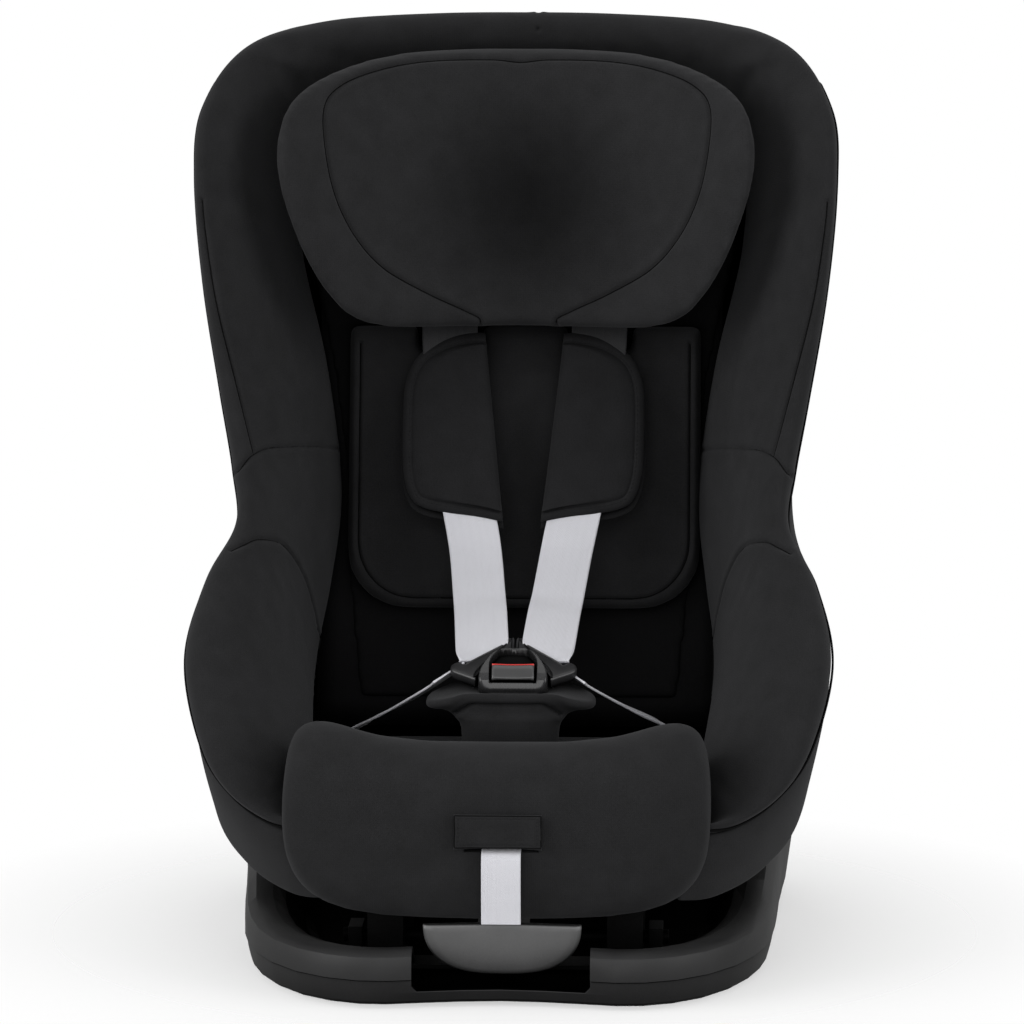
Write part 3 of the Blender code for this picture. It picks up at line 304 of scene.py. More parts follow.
def drape(obj, curve, step=0.001):
    """A front-view curve (x, z) laid on the front of obj, as points and surface normals."""
    tree = surface(obj)
    points, normals = [], []
    y = -1.0
    for x, z in spline(curve, step):
        hit, normal, _, _ = tree.ray_cast(Vector((x, -1.0, z)), Vector((0, 1, 0)))
        if hit is None or (points and abs(hit.y - y) > 0.03):
            hit, normal, _, _ = tree.find_nearest(Vector((x, y if points else 0.0, z)))
        y = hit.y
        points.append(hit)
        normals.append(normal)
    return np.array(points), np.array(normals)


# ---- upholstery ----
def inflate(obj, held, cap, pressure=4.0):
    """Cloth simulation: the cover fills out between the held points, and no point moves further than cap."""
    rest = coords(obj)
    group = obj.vertex_groups.new(name="held")
    group.add([int(i) for i in np.nonzero(held)[0]], 1.0, "REPLACE")
    cloth = obj.modifiers.new("Cloth", "CLOTH")
    cloth.settings.vertex_group_mass = "held"
    cloth.settings.use_pressure = True
    cloth.settings.uniform_pressure_force = pressure
    cloth.settings.effector_weights.gravity = 0.0
    cloth.settings.quality = 5
    cloth.collision_settings.use_collision = False
    for number in range(1, 21):
        SCENE.frame_set(number)
    graph = bpy.context.evaluated_depsgraph_get()
    shaped = obj.evaluated_get(graph).to_mesh()
    flat = np.empty(len(rest) * 3, np.float32)
    shaped.vertices.foreach_get("co", flat)
    move = flat.reshape(-1, 3) - rest
    obj.modifiers.clear()
    SCENE.frame_set(1)
    length = np.maximum(np.linalg.norm(move, axis=1), 1e-9)
    set_coords(obj, rest + move * (cap * np.tanh(length / cap) / length)[:, None])


def refine_near(obj, lines, reach, rounds):
    """Smaller faces along the lines."""
    tree = tree_of(lines)
    work = bmesh.new()
    work.from_mesh(obj.data)
    for _ in range(rounds):
        close = {v for v in work.verts if tree.find(v.co)[2] < reach}
        edges = [e for e in work.edges if e.verts[0] in close and e.verts[1] in close]
        bmesh.ops.subdivide_edges(work, edges=edges, cuts=1, use_grid_fill=True)
        reach *= 0.75
    work.to_mesh(obj.data)
    work.free()


def carve(obj, lines, depth=0.0018, width=0.0015, rounds=2):
    """Sewn seams: a narrow valley along each line, with the cloth puffed up beside it."""
    refine_near(obj, lines, max(0.0055, width * 3), rounds)
    points, normals = coords(obj), coords(obj, "normal")
    d = distances(points, lines)
    valley = np.exp(-((d / width) ** 2))
    puff = 0.25 * np.exp(-(((d - 3 * width) / (1.6 * width)) ** 2))
    set_coords(obj, points - normals * (depth * (valley - puff))[:, None])
    obj.data.shade_smooth()


def tube(points, radius, sides=6):
    """Points and faces of a round cord with pinched ends."""
    points = np.asarray(points, float)
    along = np.gradient(points, axis=0)
    along /= np.maximum(np.linalg.norm(along, axis=1), 1e-12)[:, None]
    side = np.cross(along, (0.31, 0.17, 0.94))
    side /= np.maximum(np.linalg.norm(side, axis=1), 1e-9)[:, None]
    up = np.cross(side, along)
    angles = 2 * np.pi * np.arange(sides) / sides
    rings = []
    for k, p in enumerate(points):
        r = radius * (0.35 if k in (0, len(points) - 1) else 1.0)
        rings.append(p + r * (np.cos(angles)[:, None] * side[k] + np.sin(angles)[:, None] * up[k]))
    return loft(rings)


def loft(rings, caps=True, closed=False):
    n = len(rings[0])
    faces = []
    for i in range(len(rings) if closed else len(rings) - 1):
        a, b = i * n, (i + 1) % len(rings) * n
        faces += [(a + j, a + (j + 1) % n, b + (j + 1) % n, b + j) for j in range(n)]
    if caps and not closed:
        faces += [tuple(range(n - 1, -1, -1)), tuple(range((len(rings) - 1) * n, len(rings) * n))]
    return np.concatenate(rings), faces


def joined(parts):
    """Several (points, faces) solids as one."""
    points, faces, start = [], [], 0
    for p, f in parts:
        points.append(np.asarray(p, float))
        faces += [tuple(i + start for i in face) for face in f]
        start += len(p)
    return np.concatenate(points), faces


def stitches(points, normals, pitch=0.0042, length=0.0028, radius=0.00028):
    """A row of thread stitches along a line."""
    points, normals = np.asarray(points), np.asarray(normals)
    run = np.concatenate([[0.0], np.cumsum(np.linalg.norm(np.diff(points, axis=0), axis=1))])
    parts = []
    for start in np.arange(pitch / 2, run[-1] - length, pitch):
        at = start + length * np.array([0.0, 0.2, 0.5, 0.8, 1.0])
        lift = radius * np.array([-1.2, 0.5, 1.0, 0.5, -1.2])
        p = np.stack([np.interp(at, run, points[:, k]) for k in range(3)], axis=1)
        n = np.stack([np.interp(at, run, normals[:, k]) for k in range(3)], axis=1)
        parts.append(tube(p + n * lift[:, None], radius, 5))
    return parts


# ---- materials: all procedural ----
class Shader:
    """A small helper that writes a Principled material's nodes."""

    def __init__(self, name):
        self.material = bpy.data.materials.new(name)
        self.material.use_nodes = True
        self.tree = self.material.node_tree
        self.base = self.tree.nodes["Principled BSDF"]

    def node(self, kind, **values):
        made = self.tree.nodes.new("ShaderNode" + kind)
        for key, value in values.items():
            if hasattr(made, key):
                setattr(made, key, value)
            else:
                self.put(made.inputs[key.replace("_", " ")], value)
        return made

    def put(self, socket, value):
        if isinstance(value, bpy.types.NodeSocket):
            self.tree.links.new(value, socket)
        else:
            socket.default_value = value

    def maths(self, operation, a, b=0.0):
        made = self.node("Math", operation=operation)
        self.put(made.inputs[0], a)
        self.put(made.inputs[1], b)
        return made.outputs[0]

    def times(self, a, b):
        return self.maths("MULTIPLY", a, b)

    def plus(self, a, b):
        return self.maths("ADD", a, b)

    def sine(self, a, turns=1.0):
        return self.maths("SINE", self.times(a, turns))

    def vector(self, operation, a, b=(0.0, 0.0, 0.0), out="Vector"):
        made = self.node("VectorMath", operation=operation)
        self.put(made.inputs[0], a)
        self.put(made.inputs[1], b)
        return made.outputs[out]

    def axes(self, source):
        return self.node("SeparateXYZ", Vector=source).outputs

    def noise(self, scale, detail=2.0, rough=0.5, place=None):
        spot = place or self.place()
        return self.node("TexNoise", Scale=scale, Detail=detail, Roughness=rough, Vector=spot).outputs["Fac"]

    def place(self):
        return self.node("TexCoord").outputs["Object"]

    def ramp(self, value, low, high, out_low, out_high):
        span = {"From_Min": low, "From_Max": high, "To_Min": out_low, "To_Max": out_high}
        return self.node("MapRange", Value=value, **span).outputs["Result"]

    def tint(self, share, dark, light):
        made = self.node("Mix", data_type="RGBA")
        self.put(made.inputs["Factor"], share)
        self.put(made.inputs[6], (*dark, 1.0))
        self.put(made.inputs[7], (*light, 1.0))
        return made.outputs[2]

    def hollow_shade(self, reach, low, high, dark):
        """Painted shade: falls from 1 to dark where the surface is hemmed in by others."""
        made = self.node("AmbientOcclusion", samples=8, Distance=reach)
        return self.ramp(made.outputs["AO"], low, high, dark, 1.0)

    def scaled(self, colour, share):
        made = self.node("VectorMath", operation="SCALE")
        self.put(made.inputs[0], colour)
        self.put(made.inputs["Scale"], share)
        return made.outputs["Vector"]

    def bump(self, height, distance, strength=1.0):
        made = self.node("Bump", Strength=strength, Distance=distance)
        self.put(made.inputs["Height"], height)
        self.put(self.base.inputs["Normal"], made.outputs["Normal"])

    def set(self, **values):
        for key, value in values.items():
            self.put(self.base.inputs[key.replace("_", " ")], value)


def knit_height(shader, pitch):
    """Rows of knitted loops, laid on whichever plane the surface faces."""
    axes = shader.axes(shader.place())
    facing = shader.axes(shader.node("NewGeometry").outputs["Normal"])
    k = 2 * math.pi / pitch
    total = weight = 0.0
    for across, up, normal in ((1, 2, 0), (0, 2, 1), (0, 1, 2)):
        rows = shader.sine(axes[up], k * 0.8)
        wales = shader.maths("SINE", shader.plus(shader.times(axes[across], k), shader.times(rows, 1.1)))
        share = shader.maths("POWER", shader.maths("ABSOLUTE", facing[normal]), 3.0)
        total = shader.plus(total, shader.times(shader.plus(wales, shader.times(rows, 0.5)), share))
        weight = shader.plus(weight, share)
    return shader.maths("DIVIDE", total, weight)


def dish_shade(shader, centre, radii, tone=0.4):
    """Painted shade: darkens the middle of a dished cushion."""
    offset = shader.vector("SUBTRACT", shader.place(), centre)
    scaled = shader.vector("MULTIPLY", offset, (1 / radii[0], 0.0, 1 / radii[1]))
    reach = shader.vector("LENGTH", scaled, out="Value")
    made = shader.node("MapRange", interpolation_type="SMOOTHSTEP", Value=reach, To_Min=tone)
    return made.outputs["Result"]


def fabric(name, dark, light, pitch=0.0013, sheen=0.05, hollow_shade_tone=0.12, cavity_shade=(0.11, 0.12, 0.62),
           dish=None):
    """Foam-backed knit: a soft nap over fine loops, slightly uneven in tone, with painted shade where it is hemmed
    in.
    """
    shader = Shader(name)
    loops = knit_height(shader, pitch)
    mottle = shader.noise(60.0, 4.0)
    nap = shader.noise(1100.0, 3.0, 0.65)
    share = shader.plus(shader.times(mottle, 0.45), shader.times(nap, 0.65))
    share = shader.plus(share, shader.times(loops, 0.03))
    colour = shader.tint(shader.ramp(share, 0.3, 0.8, 0.0, 1.0), dark, light)
    # Painted shade: ambient occlusion darkens the colour, gloss and sheen where other surfaces hem it in, and dish
    # adds painted shade to a cushion's middle.
    hollow_shade = shader.hollow_shade(*cavity_shade, hollow_shade_tone)
    if dish:
        hollow_shade = shader.times(hollow_shade, dish_shade(shader, *dish))
    shader.set(Base_Color=shader.scaled(colour, hollow_shade), Roughness=shader.ramp(mottle, 0.3, 0.7, 0.82, 0.95))
    shader.set(Specular_IOR_Level=shader.times(hollow_shade, 0.1), Sheen_Weight=shader.times(hollow_shade, sheen))
    shader.set(Sheen_Roughness=0.5, Sheen_Tint=(0.92, 0.93, 0.96, 1.0))
    shader.bump(shader.plus(shader.times(loops, 0.1), nap), 0.00016)
    return shader.material


def webbing(name, dark, light, rib=0.0011, band=0.0062, warp=0.0009):
    """Woven belt: fine cross ribs over lengthwise warp threads and bands. Its UVs are in metres."""
    shader = Shader(name)
    uv = shader.axes(shader.node("UVMap", uv_map="strap").outputs["UV"])
    bands = shader.sine(uv[0], 2 * math.pi / band)
    twill = shader.times(shader.maths("SIGN", bands), shader.times(uv[0], 0.8))
    ribs = shader.sine(shader.plus(uv[1], twill), 2 * math.pi / rib)
    warps = shader.sine(uv[0], 2 * math.pi / warp)
    grain = shader.noise(900.0, 3.0)
    height = shader.plus(shader.plus(ribs, shader.times(warps, 0.35)), shader.times(bands, 0.15))
    share = shader.plus(shader.ramp(height, -1.6, 1.6, 0.25, 0.75), shader.times(grain, 0.25))
    shader.set(Base_Color=shader.tint(share, dark, light), Roughness=0.62, Specular_IOR_Level=0.35)
    shader.set(Sheen_Weight=0.15, Sheen_Roughness=0.4)
    shader.bump(height, 0.0001)
    return shader.material


def inner_wall_shade(shader):
    """Painted shade: near 0 on walls that face the seat's middle line and on the floor of the base, 1 elsewhere.
    """
    spot = shader.place()
    normal = shader.node("NewGeometry").outputs["True Normal"]
    outward = shader.vector("NORMALIZE", shader.vector("MULTIPLY", spot, (1.0, 1.0, 0.0)))
    facing = shader.vector("DOT_PRODUCT", outward, normal, "Value")
    walls = shader.ramp(facing, -0.42, -0.12, 0.04, 1.0)
    low = shader.ramp(shader.axes(spot)["Z"], 0.012, 0.019, 1.0, 0.0)
    floor = shader.times(shader.ramp(shader.axes(normal)["Z"], 0.3, 0.6, 0.0, 0.96), low)
    return shader.times(walls, shader.maths("SUBTRACT", 1.0, floor))


def moulded(name, colour, rough, grain=1400.0, depth=0.00006, wear=0.5, spec=0.5, cavity_shade=0.09,
            well=False):
    """Moulded plastic: fine grain, uneven gloss, edges rubbed a little lighter, and painted shade where it is
    hemmed in.
    """
    shader = Shader(name)
    fine = shader.noise(grain, 3.0)
    broad = shader.noise(26.0, 4.0)
    edge = shader.ramp(shader.node("NewGeometry").outputs["Pointiness"], 0.52, 0.6, 0.0, wear)
    light = tuple(min(1.0, c * 1.9 + 0.02) for c in colour)
    dark = tuple(c * 0.86 for c in colour)
    share = shader.plus(shader.ramp(broad, 0.3, 0.7, 0.0, 0.14), edge)
    # Painted shade where other surfaces hem it in; with well set, also painted shade on the inner walls and floor
    # of the base.
    hollow_shade = shader.hollow_shade(cavity_shade, 0.2, 0.92 if well else 0.68, 0.06)
    if well:
        hollow_shade = shader.times(hollow_shade, inner_wall_shade(shader))
    shader.set(Base_Color=shader.scaled(shader.tint(share, dark, light), hollow_shade))
    shader.set(Specular_IOR_Level=shader.times(hollow_shade, spec))
    shader.set(Roughness=shader.ramp(shader.plus(fine, broad), 0.6, 1.4, rough - 0.06, rough + 0.06))
    shader.bump(fine, depth)
    return shader.material


def metal(name):
    """Zinc-plated steel with drawing marks."""
    shader = Shader(name)
    stretch = shader.node("Mapping", Scale=(12.0, 900.0, 900.0), Vector=shader.place())
    marks = shader.noise(1.0, 4.0, 0.6, stretch.outputs[0])
    shader.set(Base_Color=shader.tint(marks, (0.42, 0.42, 0.43), (0.66, 0.66, 0.67)), Metallic=1.0)
    shader.set(Roughness=shader.ramp(marks, 0.2, 0.8, 0.24, 0.44))
    shader.bump(marks, 0.00003)
    return shader.material


def beads(name, colour):
    """Expanded foam: packed beads."""
    shader = Shader(name)
    near = shader.node("TexVoronoi", Scale=320.0, Vector=shader.place()).outputs["Distance"]
    shader.set(Base_Color=shader.tint(near, colour, tuple(c * 0.4 for c in colour)), Roughness=0.85)
    shader.bump(shader.maths("SUBTRACT", 1.0, near), 0.0006)
    return shader.material


def make_materials():
    cover = {"hollow_shade_tone": 0.4, "cavity_shade": (0.06, 0.05, 0.55)}
    # Centre and radii of the painted shade in the headrest's middle.
    dish = ((0.008, 0.0, 0.522), (0.11, 0.12))
    fine_knit, pad_shade_tone = 0.0011, 0.25
    return {
        "fabric": fabric("cover_knit", (0.0092, 0.0092, 0.0096), (0.0208, 0.0208, 0.0218), **cover),
        "headrest_fabric": fabric(
            "headrest_knit", (0.011, 0.011, 0.0115), (0.025, 0.025, 0.0262), dish=dish, **cover),
        "pad_fabric": fabric(
            "pad_knit", (0.0075, 0.0075, 0.0079), (0.0175, 0.0175, 0.0186), fine_knit, 0.05, pad_shade_tone),
        "insert_fabric": fabric(
            "insert_knit", (0.0088, 0.0088, 0.0092), (0.0205, 0.0205, 0.0216), fine_knit, 0.05, pad_shade_tone,
            (0.06, 0.1, 0.6)),
        # Painted shade: near-black, this stands in for the shade in the gap beside the insert.
        "lining": fabric(
            "gap_shade_knit", (0.003, 0.003, 0.0032), (0.007, 0.007, 0.0075), fine_knit, 0.02, 0.1),
        # Painted shadow: near-black, for the shade in seam grooves, round the flap's edges and in the buckle's
        # window.
        "seam": moulded("seam_shadow", (0.001, 0.001, 0.0011), 0.9, wear=0.0, spec=0.1),
        "thread": fabric("thread", (0.009, 0.009, 0.0094), (0.022, 0.022, 0.023), 0.0005),
        "webbing": webbing("harness_webbing", (0.55, 0.55, 0.583), (0.71, 0.71, 0.754)),
        "dark_webbing": webbing("tether_webbing", (0.01, 0.01, 0.011), (0.024, 0.024, 0.026)),
        "shell_plastic": moulded(
            "shell_plastic", (0.028, 0.028, 0.0286), 0.52, spec=0.3, cavity_shade=0.22, well=True),
        "dark_plastic": moulded("gear_plastic", (0.008, 0.008, 0.008), 0.55, wear=0.2, spec=0.3),
        "button": moulded("button_plastic", (0.05, 0.05, 0.051), 0.34, 700.0, 0.00002, cavity_shade=0.02),
        "gloss": moulded(
            "buckle_plastic", (0.02, 0.02, 0.021), 0.27, 500.0, 0.00001, wear=0.0, cavity_shade=0.05),
        "tongue": moulded("tongue_plastic", (0.018, 0.018, 0.019), 0.34, 900.0, 0.00003, cavity_shade=0.03),
        "grey_plastic": moulded("paddle_plastic", (0.135, 0.135, 0.136), 0.42, 1100.0, 0.00004, 0.25),
        "red_plastic": moulded("red_plastic", (0.55, 0.022, 0.018), 0.38, 900.0, 0.00003, 0.2),
        "rubber": moulded("rubber", (0.02, 0.02, 0.02), 0.8, 1800.0, 0.0001, 0.1, 0.3),
        "steel": metal("plated_steel"),
        "foam": beads("bead_foam", (0.09, 0.09, 0.092)),
    }


def place(obj, body, slot, *nodes):
    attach(obj, body)
    if nodes:
        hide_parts(*nodes)
    return obj


# ---- CAD pieces that stay: finish, rounded edges ----
FINISH = {"tongue_plastic": "tongue", "buckle_plastic": "gloss"}  # the other slots name their material
# Near-black plastic for the inner gear. On the slide rods this is painted shade, which hides them in the dark
# inside of the base.
DARK_GEAR = (
    "slide_rod_front", "slide_rod_rear", "tilt_shaft", "carriage_rail_left", "carriage_rail_right",
    "slide_bracket_left", "slide_bracket_right", "belt_deck", "tilt_saddle", "headrest_carrier",
    "adjuster_housing",
)


def dress_cad():
    slots = {part["node"]: part["material_slot"] for part in frame["record"]["subparts"]}
    for name, obj in NODES.items():
        finish = "dark_plastic" if name in DARK_GEAR else FINISH.get(slots[name], slots[name])
        obj.data.materials.clear()
        obj.data.materials.append(MATERIALS[finish])
        obj.data.shade_smooth()
        if "custom_normal" in obj.data.attributes:
            obj.data.attributes.remove(obj.data.attributes["custom_normal"])
        weld = obj.modifiers.new("Weld", "WELD")
        weld.merge_threshold = 0.00001
        bevel = obj.modifiers.new("Edges", "BEVEL")
        bevel.width = 0.0006
        bevel.segments = 2
        bevel.limit_method = "ANGLE"
        bevel.angle_limit = math.radians(40)
        obj.modifiers.new("Shading", "WEIGHTED_NORMAL")


# ---- upholstery pieces ----
CORD = 0.0006  # radius of the near-black cord in a seam, painted shadow in the seam's groove


def upholster(obj, nodes, body, slot, spacing, cap, seams, depth=0.0018, width=0.0015, also_held=None):
    """A padded cover in the place of CAD solids: blown up between its seams, then sewn."""
    lines = [drape(obj, seam, spacing / 2)[0] for seam in seams]
    points, normals = coords(obj), coords(obj, "normal")
    held = normals[:, 1] > 0.15
    if lines:
        held |= distances(points, lines) < spacing * 0.9
    if also_held is not None:
        held |= also_held(points, normals)
    inflate(obj, held, cap)
    soften(obj, 6)
    divide(obj)
    if seams:
        draped = [drape(obj, seam) for seam in seams]
        carve(obj, [p for p, _ in draped], depth, width)
        # Painted shadow: near-black cords sunk into the seam grooves.
        cords = [tube(p - n * depth, CORD) for p, n in draped]
        place(make(obj.name + "_seams", *joined(cords), "seam"), body, slot)
    return place(obj, body, slot, *nodes)


def guide_path(step, last=None):
    """The rim's guide points at even steps. Without last, the path goes on over the left-hand half."""
    right = [np.array(row).ravel() for row in RIM_GUIDES]
    if last is None:
        flip = np.tile((-1.0, 1.0, 1.0), 4)
        return spline(right + [row * flip for row in right[-2::-1]], step).reshape(-1, 4, 3)
    marked = [np.append(row, k * 1e-6) for k, row in enumerate(right)]
    rows = spline(marked, step)
    return rows[rows[:, -1] < last * 1e-6][:, :-1].reshape(-1, 4, 3)


def rim_section(inner, crest, outer, hem, thick=0.012):
    """A closed section: from the inner foot over the crest to the outer seam, then back behind."""
    forward = unit(crest - (inner + outer) / 2)
    out = outer - crest
    push = forward * 0.004
    shoulder = outer - forward * (out @ forward)
    wall = inner + (crest - inner) * 0.45 - (outer - inner) * 0.05
    front = rounded([inner, wall, crest + push, shoulder + push, outer], 27)
    behind, outward = unit(hem - outer), unit(outer - inner)
    end = outer + behind * thick * 0.35 - outward * thick * 0.75
    foot = inner + behind * thick * 0.6 + outward * thick * 0.3
    back = [end + (foot - end) * k / 9 for k in range(10)]
    return np.concatenate([front[:-1], [front[-1] - outward * 0.0015], back])


def build_rim():
    """The cover of the backrest rim and the padded seat wings, sewn together at the waist."""
    rings = [rim_section(*row) for row in guide_path(0.0105)]
    obj = clean(make("rim_cover", *loft(rings), "fabric"))
    low, high = coords(obj).min(axis=0), coords(obj).max(axis=0)
    seams = [to_side(s, sign) for _, sign in SIDES for s in (EAR_SEAM, WAIST_SEAM, SIDE_SEAM)]
    nodes = ("backrest_cover", "seat_wing_pad_left", "seat_wing_pad_right")
    upholster(obj, nodes, "shell", "fabric", 0.0055, 0.0035, seams,
              also_held=lambda points, normals: points[:, 1] < low[1] + 0.025)
    set_coords(obj, np.clip(coords(obj), low - 0.002, high + 0.002))
    notch = [(0.0115, y, z) for y, z in ((0.165, 0.63), (0.18, 0.6445), (0.195, 0.659), (0.215, 0.656))]
    carve(obj, [spline(notch, 0.001)], 0.0016, 0.0013)


def build_skirts():
    """The outer fabric from the outer seam back to the hem, and a near-black cord along that seam: painted shadow
    in the gap between rim and skirt.
    """
    path = guide_path(0.01, SKIRT_END)
    for side, sign in SIDES:
        rings = []
        for k, (inner, crest, outer, hem) in enumerate(path):
            inward = unit(inner - outer)
            # Over its last stretch the skirt narrows and sinks under the rim's edge.
            taper = smooth_step(len(path) - 1 - k, 0.0, SKIRT_TAPER)
            hem = outer + (hem - outer) * (0.25 + 0.75 * taper)
            outer = outer + inward * 0.004 * (1 - taper)
            hem = hem + inward * 0.006 * (1 - taper)
            start = outer + inward * 0.0035 + unit(hem - outer) * 0.0012
            upper = outer + (hem - outer) * 0.22 - inward * 0.0012
            middle = (outer + hem) / 2 - inward * 0.0022
            face = rounded([start, upper, middle, hem + (outer - hem) * 0.1, hem], 12)
            rings.append(to_side(np.concatenate([face, face[::-1] + inward * 0.003]), sign))
        skirt = divide(clean(make(f"side_skirt_{side}_cloth", *loft(rings), "fabric")))
        place(skirt, "shell", "fabric", f"side_skirt_{side}")
        # Painted shadow: a near-black cord in the gap where rim and skirt meet.
        seam = [outer + unit(outer - inner) * 0.0004 for inner, _, outer, _ in guide_path(0.004, SEAM_END)]
        place(make(f"rim_seam_{side}", *tube(to_side(seam, sign), 0.0009), "seam"), "shell", "fabric")


def headrest_solid():
    """A dished cushion: its wings reach further forward than its middle, and its edge is round."""
    outline = spline(np.concatenate([HEADREST_OUTLINE, to_side(HEADREST_OUTLINE, -1.0)[-2::-1]]), 0.006)[:-1]
    centre = np.array([0.0, 0.53])
    reach = np.linalg.norm(outline - centre, axis=1)[:, None]
    half, edge = 0.015, 0.012
    shares = (0.01, 0.25, 0.5, 0.7, 0.82, 0.9)
    rings = []
    for face, step in ((1.0, 1), (-1.0, -1)):
        for share in shares[::step]:
            rings.append([headrest_point(*p, face * half) for p in centre + (outline - centre) * share])
        if face > 0:
            for a in np.radians(np.linspace(75, -75, 9)):
                inset = edge * (1 - math.cos(a) ** 0.7)
                flat = outline - (outline - centre) / reach * inset
                level = half * math.copysign(abs(math.sin(a)) ** 0.8, a)
                rings.append([headrest_point(*p, level) for p in flat])
    return loft(rings)


def headrest_point(x, z, level):
    """level metres in front of the headrest's middle layer."""
    depth = 0.059 + 0.106 * min(abs(x) / 0.168, 1.0) ** 2.1
    return back_point(x, z, depth + level)


def build_headrest():
    obj = clean(make("headrest_cover", *headrest_solid(), "headrest_fabric"))
    remesh(obj, 0.004)
    soften(obj, 6)
    upholster(obj, ("headrest_pad",), "headrest", "fabric", 0.004, 0.004, [both_halves(HEADREST_SEAM)],
              also_held=lambda points, normals: normals[:, 1] > -0.4)


INSERT_WIDEN, INSERT_DRIFT = 1.055, 0.0035  # the cloth insert's width and place against the CAD solid


def build_insert():
    low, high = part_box("body_insert")
    inset, corner = 0.0085, 0.042
    half, foot = high.x * INSERT_WIDEN - inset, low.z + inset
    right = [(0.0, foot), (half - corner - 0.02, foot), (half - corner, foot)]
    for a in np.radians(np.linspace(0, 90, 6)):
        right.append((half - corner + corner * math.sin(a), foot + corner - corner * math.cos(a)))
    right += [(half, foot + corner + 0.02), (half, (foot + high.z) / 2), (half, high.z - 0.012)]
    seam = both_halves(right) + (INSERT_DRIFT, 0.0)
    obj = even_copy("body_insert_cover", "body_insert", 0.0032, 6, "insert_fabric")
    set_coords(obj, coords(obj) * (INSERT_WIDEN, 1.0, 1.0) + (INSERT_DRIFT, 0.0, 0.0))
    upholster(obj, ("body_insert",), "shell", "pad_fabric", 0.0032, 0.004, [seam], 0.0015, 0.0013)


def build_back_pads():
    """The soft pad and foam behind the insert, and a sheet that closes the gap up to the rim's foot. The pad and
    the sheet are near-black: painted shade for the gap beside the insert.
    """
    for node, slot, finish, voxel in (("backrest_pad", "pad_fabric", "lining", 0.0035),
                                      ("backrest_foam", "foam", "foam", 0.004)):
        place(divide(even_copy(node + "_soft", node, voxel, 4, finish)), "shell", slot, node)
    feet = np.array([row[0] for row in RIM_GUIDES[11:]])
    rings = []
    for z in np.linspace(BACK_FOOT.z - 0.02, feet[-1, 2] + 0.002, 26):
        half = np.clip(np.interp(z, feet[:, 2], feet[:, 0]) + 0.006, 0.05, 0.15)
        across = np.linspace(-half, half, 21)
        ring = [(x, -0.003) for x in across] + [(x, -0.006) for x in across[::-1]]
        rings.append([back_point(x, z, off) for x, off in ring])
    place(clean(make("backrest_gap_shade", *loft(rings), "lining")), "shell", "fabric")


# ---- seat cushion ----
# Side view of the cushion: from under its rear, round the front roll and back over the seat.
CUSHION_SIDE = (
    (0.0605, 0.117), (0.0265, 0.0995), (-0.06, 0.099), (-0.15, 0.0985), (-0.185, 0.092), (-0.212, 0.071),
    (-0.2265, 0.0575), (-0.2375, 0.055), (-0.2475, 0.06), (-0.254, 0.074), (-0.2575, 0.096), (-0.2585, 0.118),
    (-0.2575, 0.137), (-0.253, 0.153), (-0.244, 0.166), (-0.229, 0.1735), (-0.212, 0.175), (-0.195, 0.1715),
    (-0.175, 0.165), (-0.15, 0.1585), (-0.11, 0.15), (-0.06, 0.142), (0.0, 0.135), (0.05, 0.13),
    (0.062, 0.124),
)
# Front view of the roll, from the middle out: half-width, lower edge, upper edge.
CUSHION_FRONT = (
    (0.0, 0.0488, 0.175), (0.0486, 0.05, 0.1752), (0.0824, 0.0524, 0.179), (0.1, 0.0552, 0.184),
    (0.115, 0.06, 0.1885), (0.1263, 0.0662, 0.1892), (0.1344, 0.0735, 0.186), (0.1412, 0.0845, 0.179),
    (0.1452, 0.0975, 0.166), (0.147, 0.113, 0.145),
)
CUSHION_DRIFT = -0.0045  # sideways shift of the cushion's cover


def cushion_ring(x):
    half, foot, top = np.array(CUSHION_FRONT).T
    middle, full_foot, full_top = 0.125, foot[0], top[0]
    low, high = np.interp(abs(x), half, foot), np.interp(abs(x), half, top)
    side = (abs(x) / half[-1]) ** 8
    ring = []
    for y, z in spline(CUSHION_SIDE, 0.0045):
        front = smooth_step(-y, 0.15, 0.19)
        roll = (high - middle) / (full_top - middle) if z > middle else (middle - low) / (middle - full_foot)
        seat = 1.0 - 0.45 * side
        height = middle + (z - middle) * (front * roll + (1 - front) * seat)
        ring.append((x + CUSHION_DRIFT, y + 0.012 * side * front, height))
    return ring


def build_cushion():
    half = CUSHION_FRONT[-1][0]
    stations = [half * math.sin(a) ** 0.8 if a > 0 else 0.0 for a in np.linspace(0, math.pi / 2, 36)]
    rings = [cushion_ring(x) for x in [-x for x in stations[:0:-1]] + stations]
    obj = clean(make("seat_cushion_cover", *loft(rings), "fabric"))
    remesh(obj, 0.0045)
    soften(obj, 4)
    low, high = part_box("adjuster_housing")

    def at_pocket_or_under(points, normals):
        near = (np.abs(points[:, 0]) < high.x + 0.008) & (points[:, 2] > low.z - 0.004)
        near &= (points[:, 2] < high.z + 0.01) & (points[:, 1] < high.y)
        return near | (normals[:, 2] < -0.6)

    upholster(obj, ("seat_cushion",), "shell", "fabric", 0.0045, 0.005, [], also_held=at_pocket_or_under)
    cut_pocket(obj, (-0.0255, -0.3, low.z + 0.007), (0.0255, -0.215, high.z - 0.003))


def cut_pocket(obj, low, high):
    """An opening in the cover, behind the adjuster's flap."""
    work = bmesh.new()
    bmesh.ops.create_cube(work, size=1.0)
    for v in work.verts:
        v.co = [(a + b) / 2 + (b - a) * c for a, b, c in zip(low, high, v.co)]
    block = add_work("pocket", work, obj.data.materials[0])
    opening = obj.modifiers.new("Opening", "BOOLEAN")
    opening.operation = "DIFFERENCE"
    opening.solver = "EXACT"
    opening.object = block
    settle(obj)
    bpy.data.objects.remove(block)


# ---- shoulder pads ----
# The harness lies a few millimetres off the middle line: drift at the buckle, and of each side above it.
BUCKLE_DRIFT = 0.003
PAD_DRIFT = {"left": 0.0005, "right": 0.0068}
BINDING = 0.0068  # width of the tape round a shoulder pad


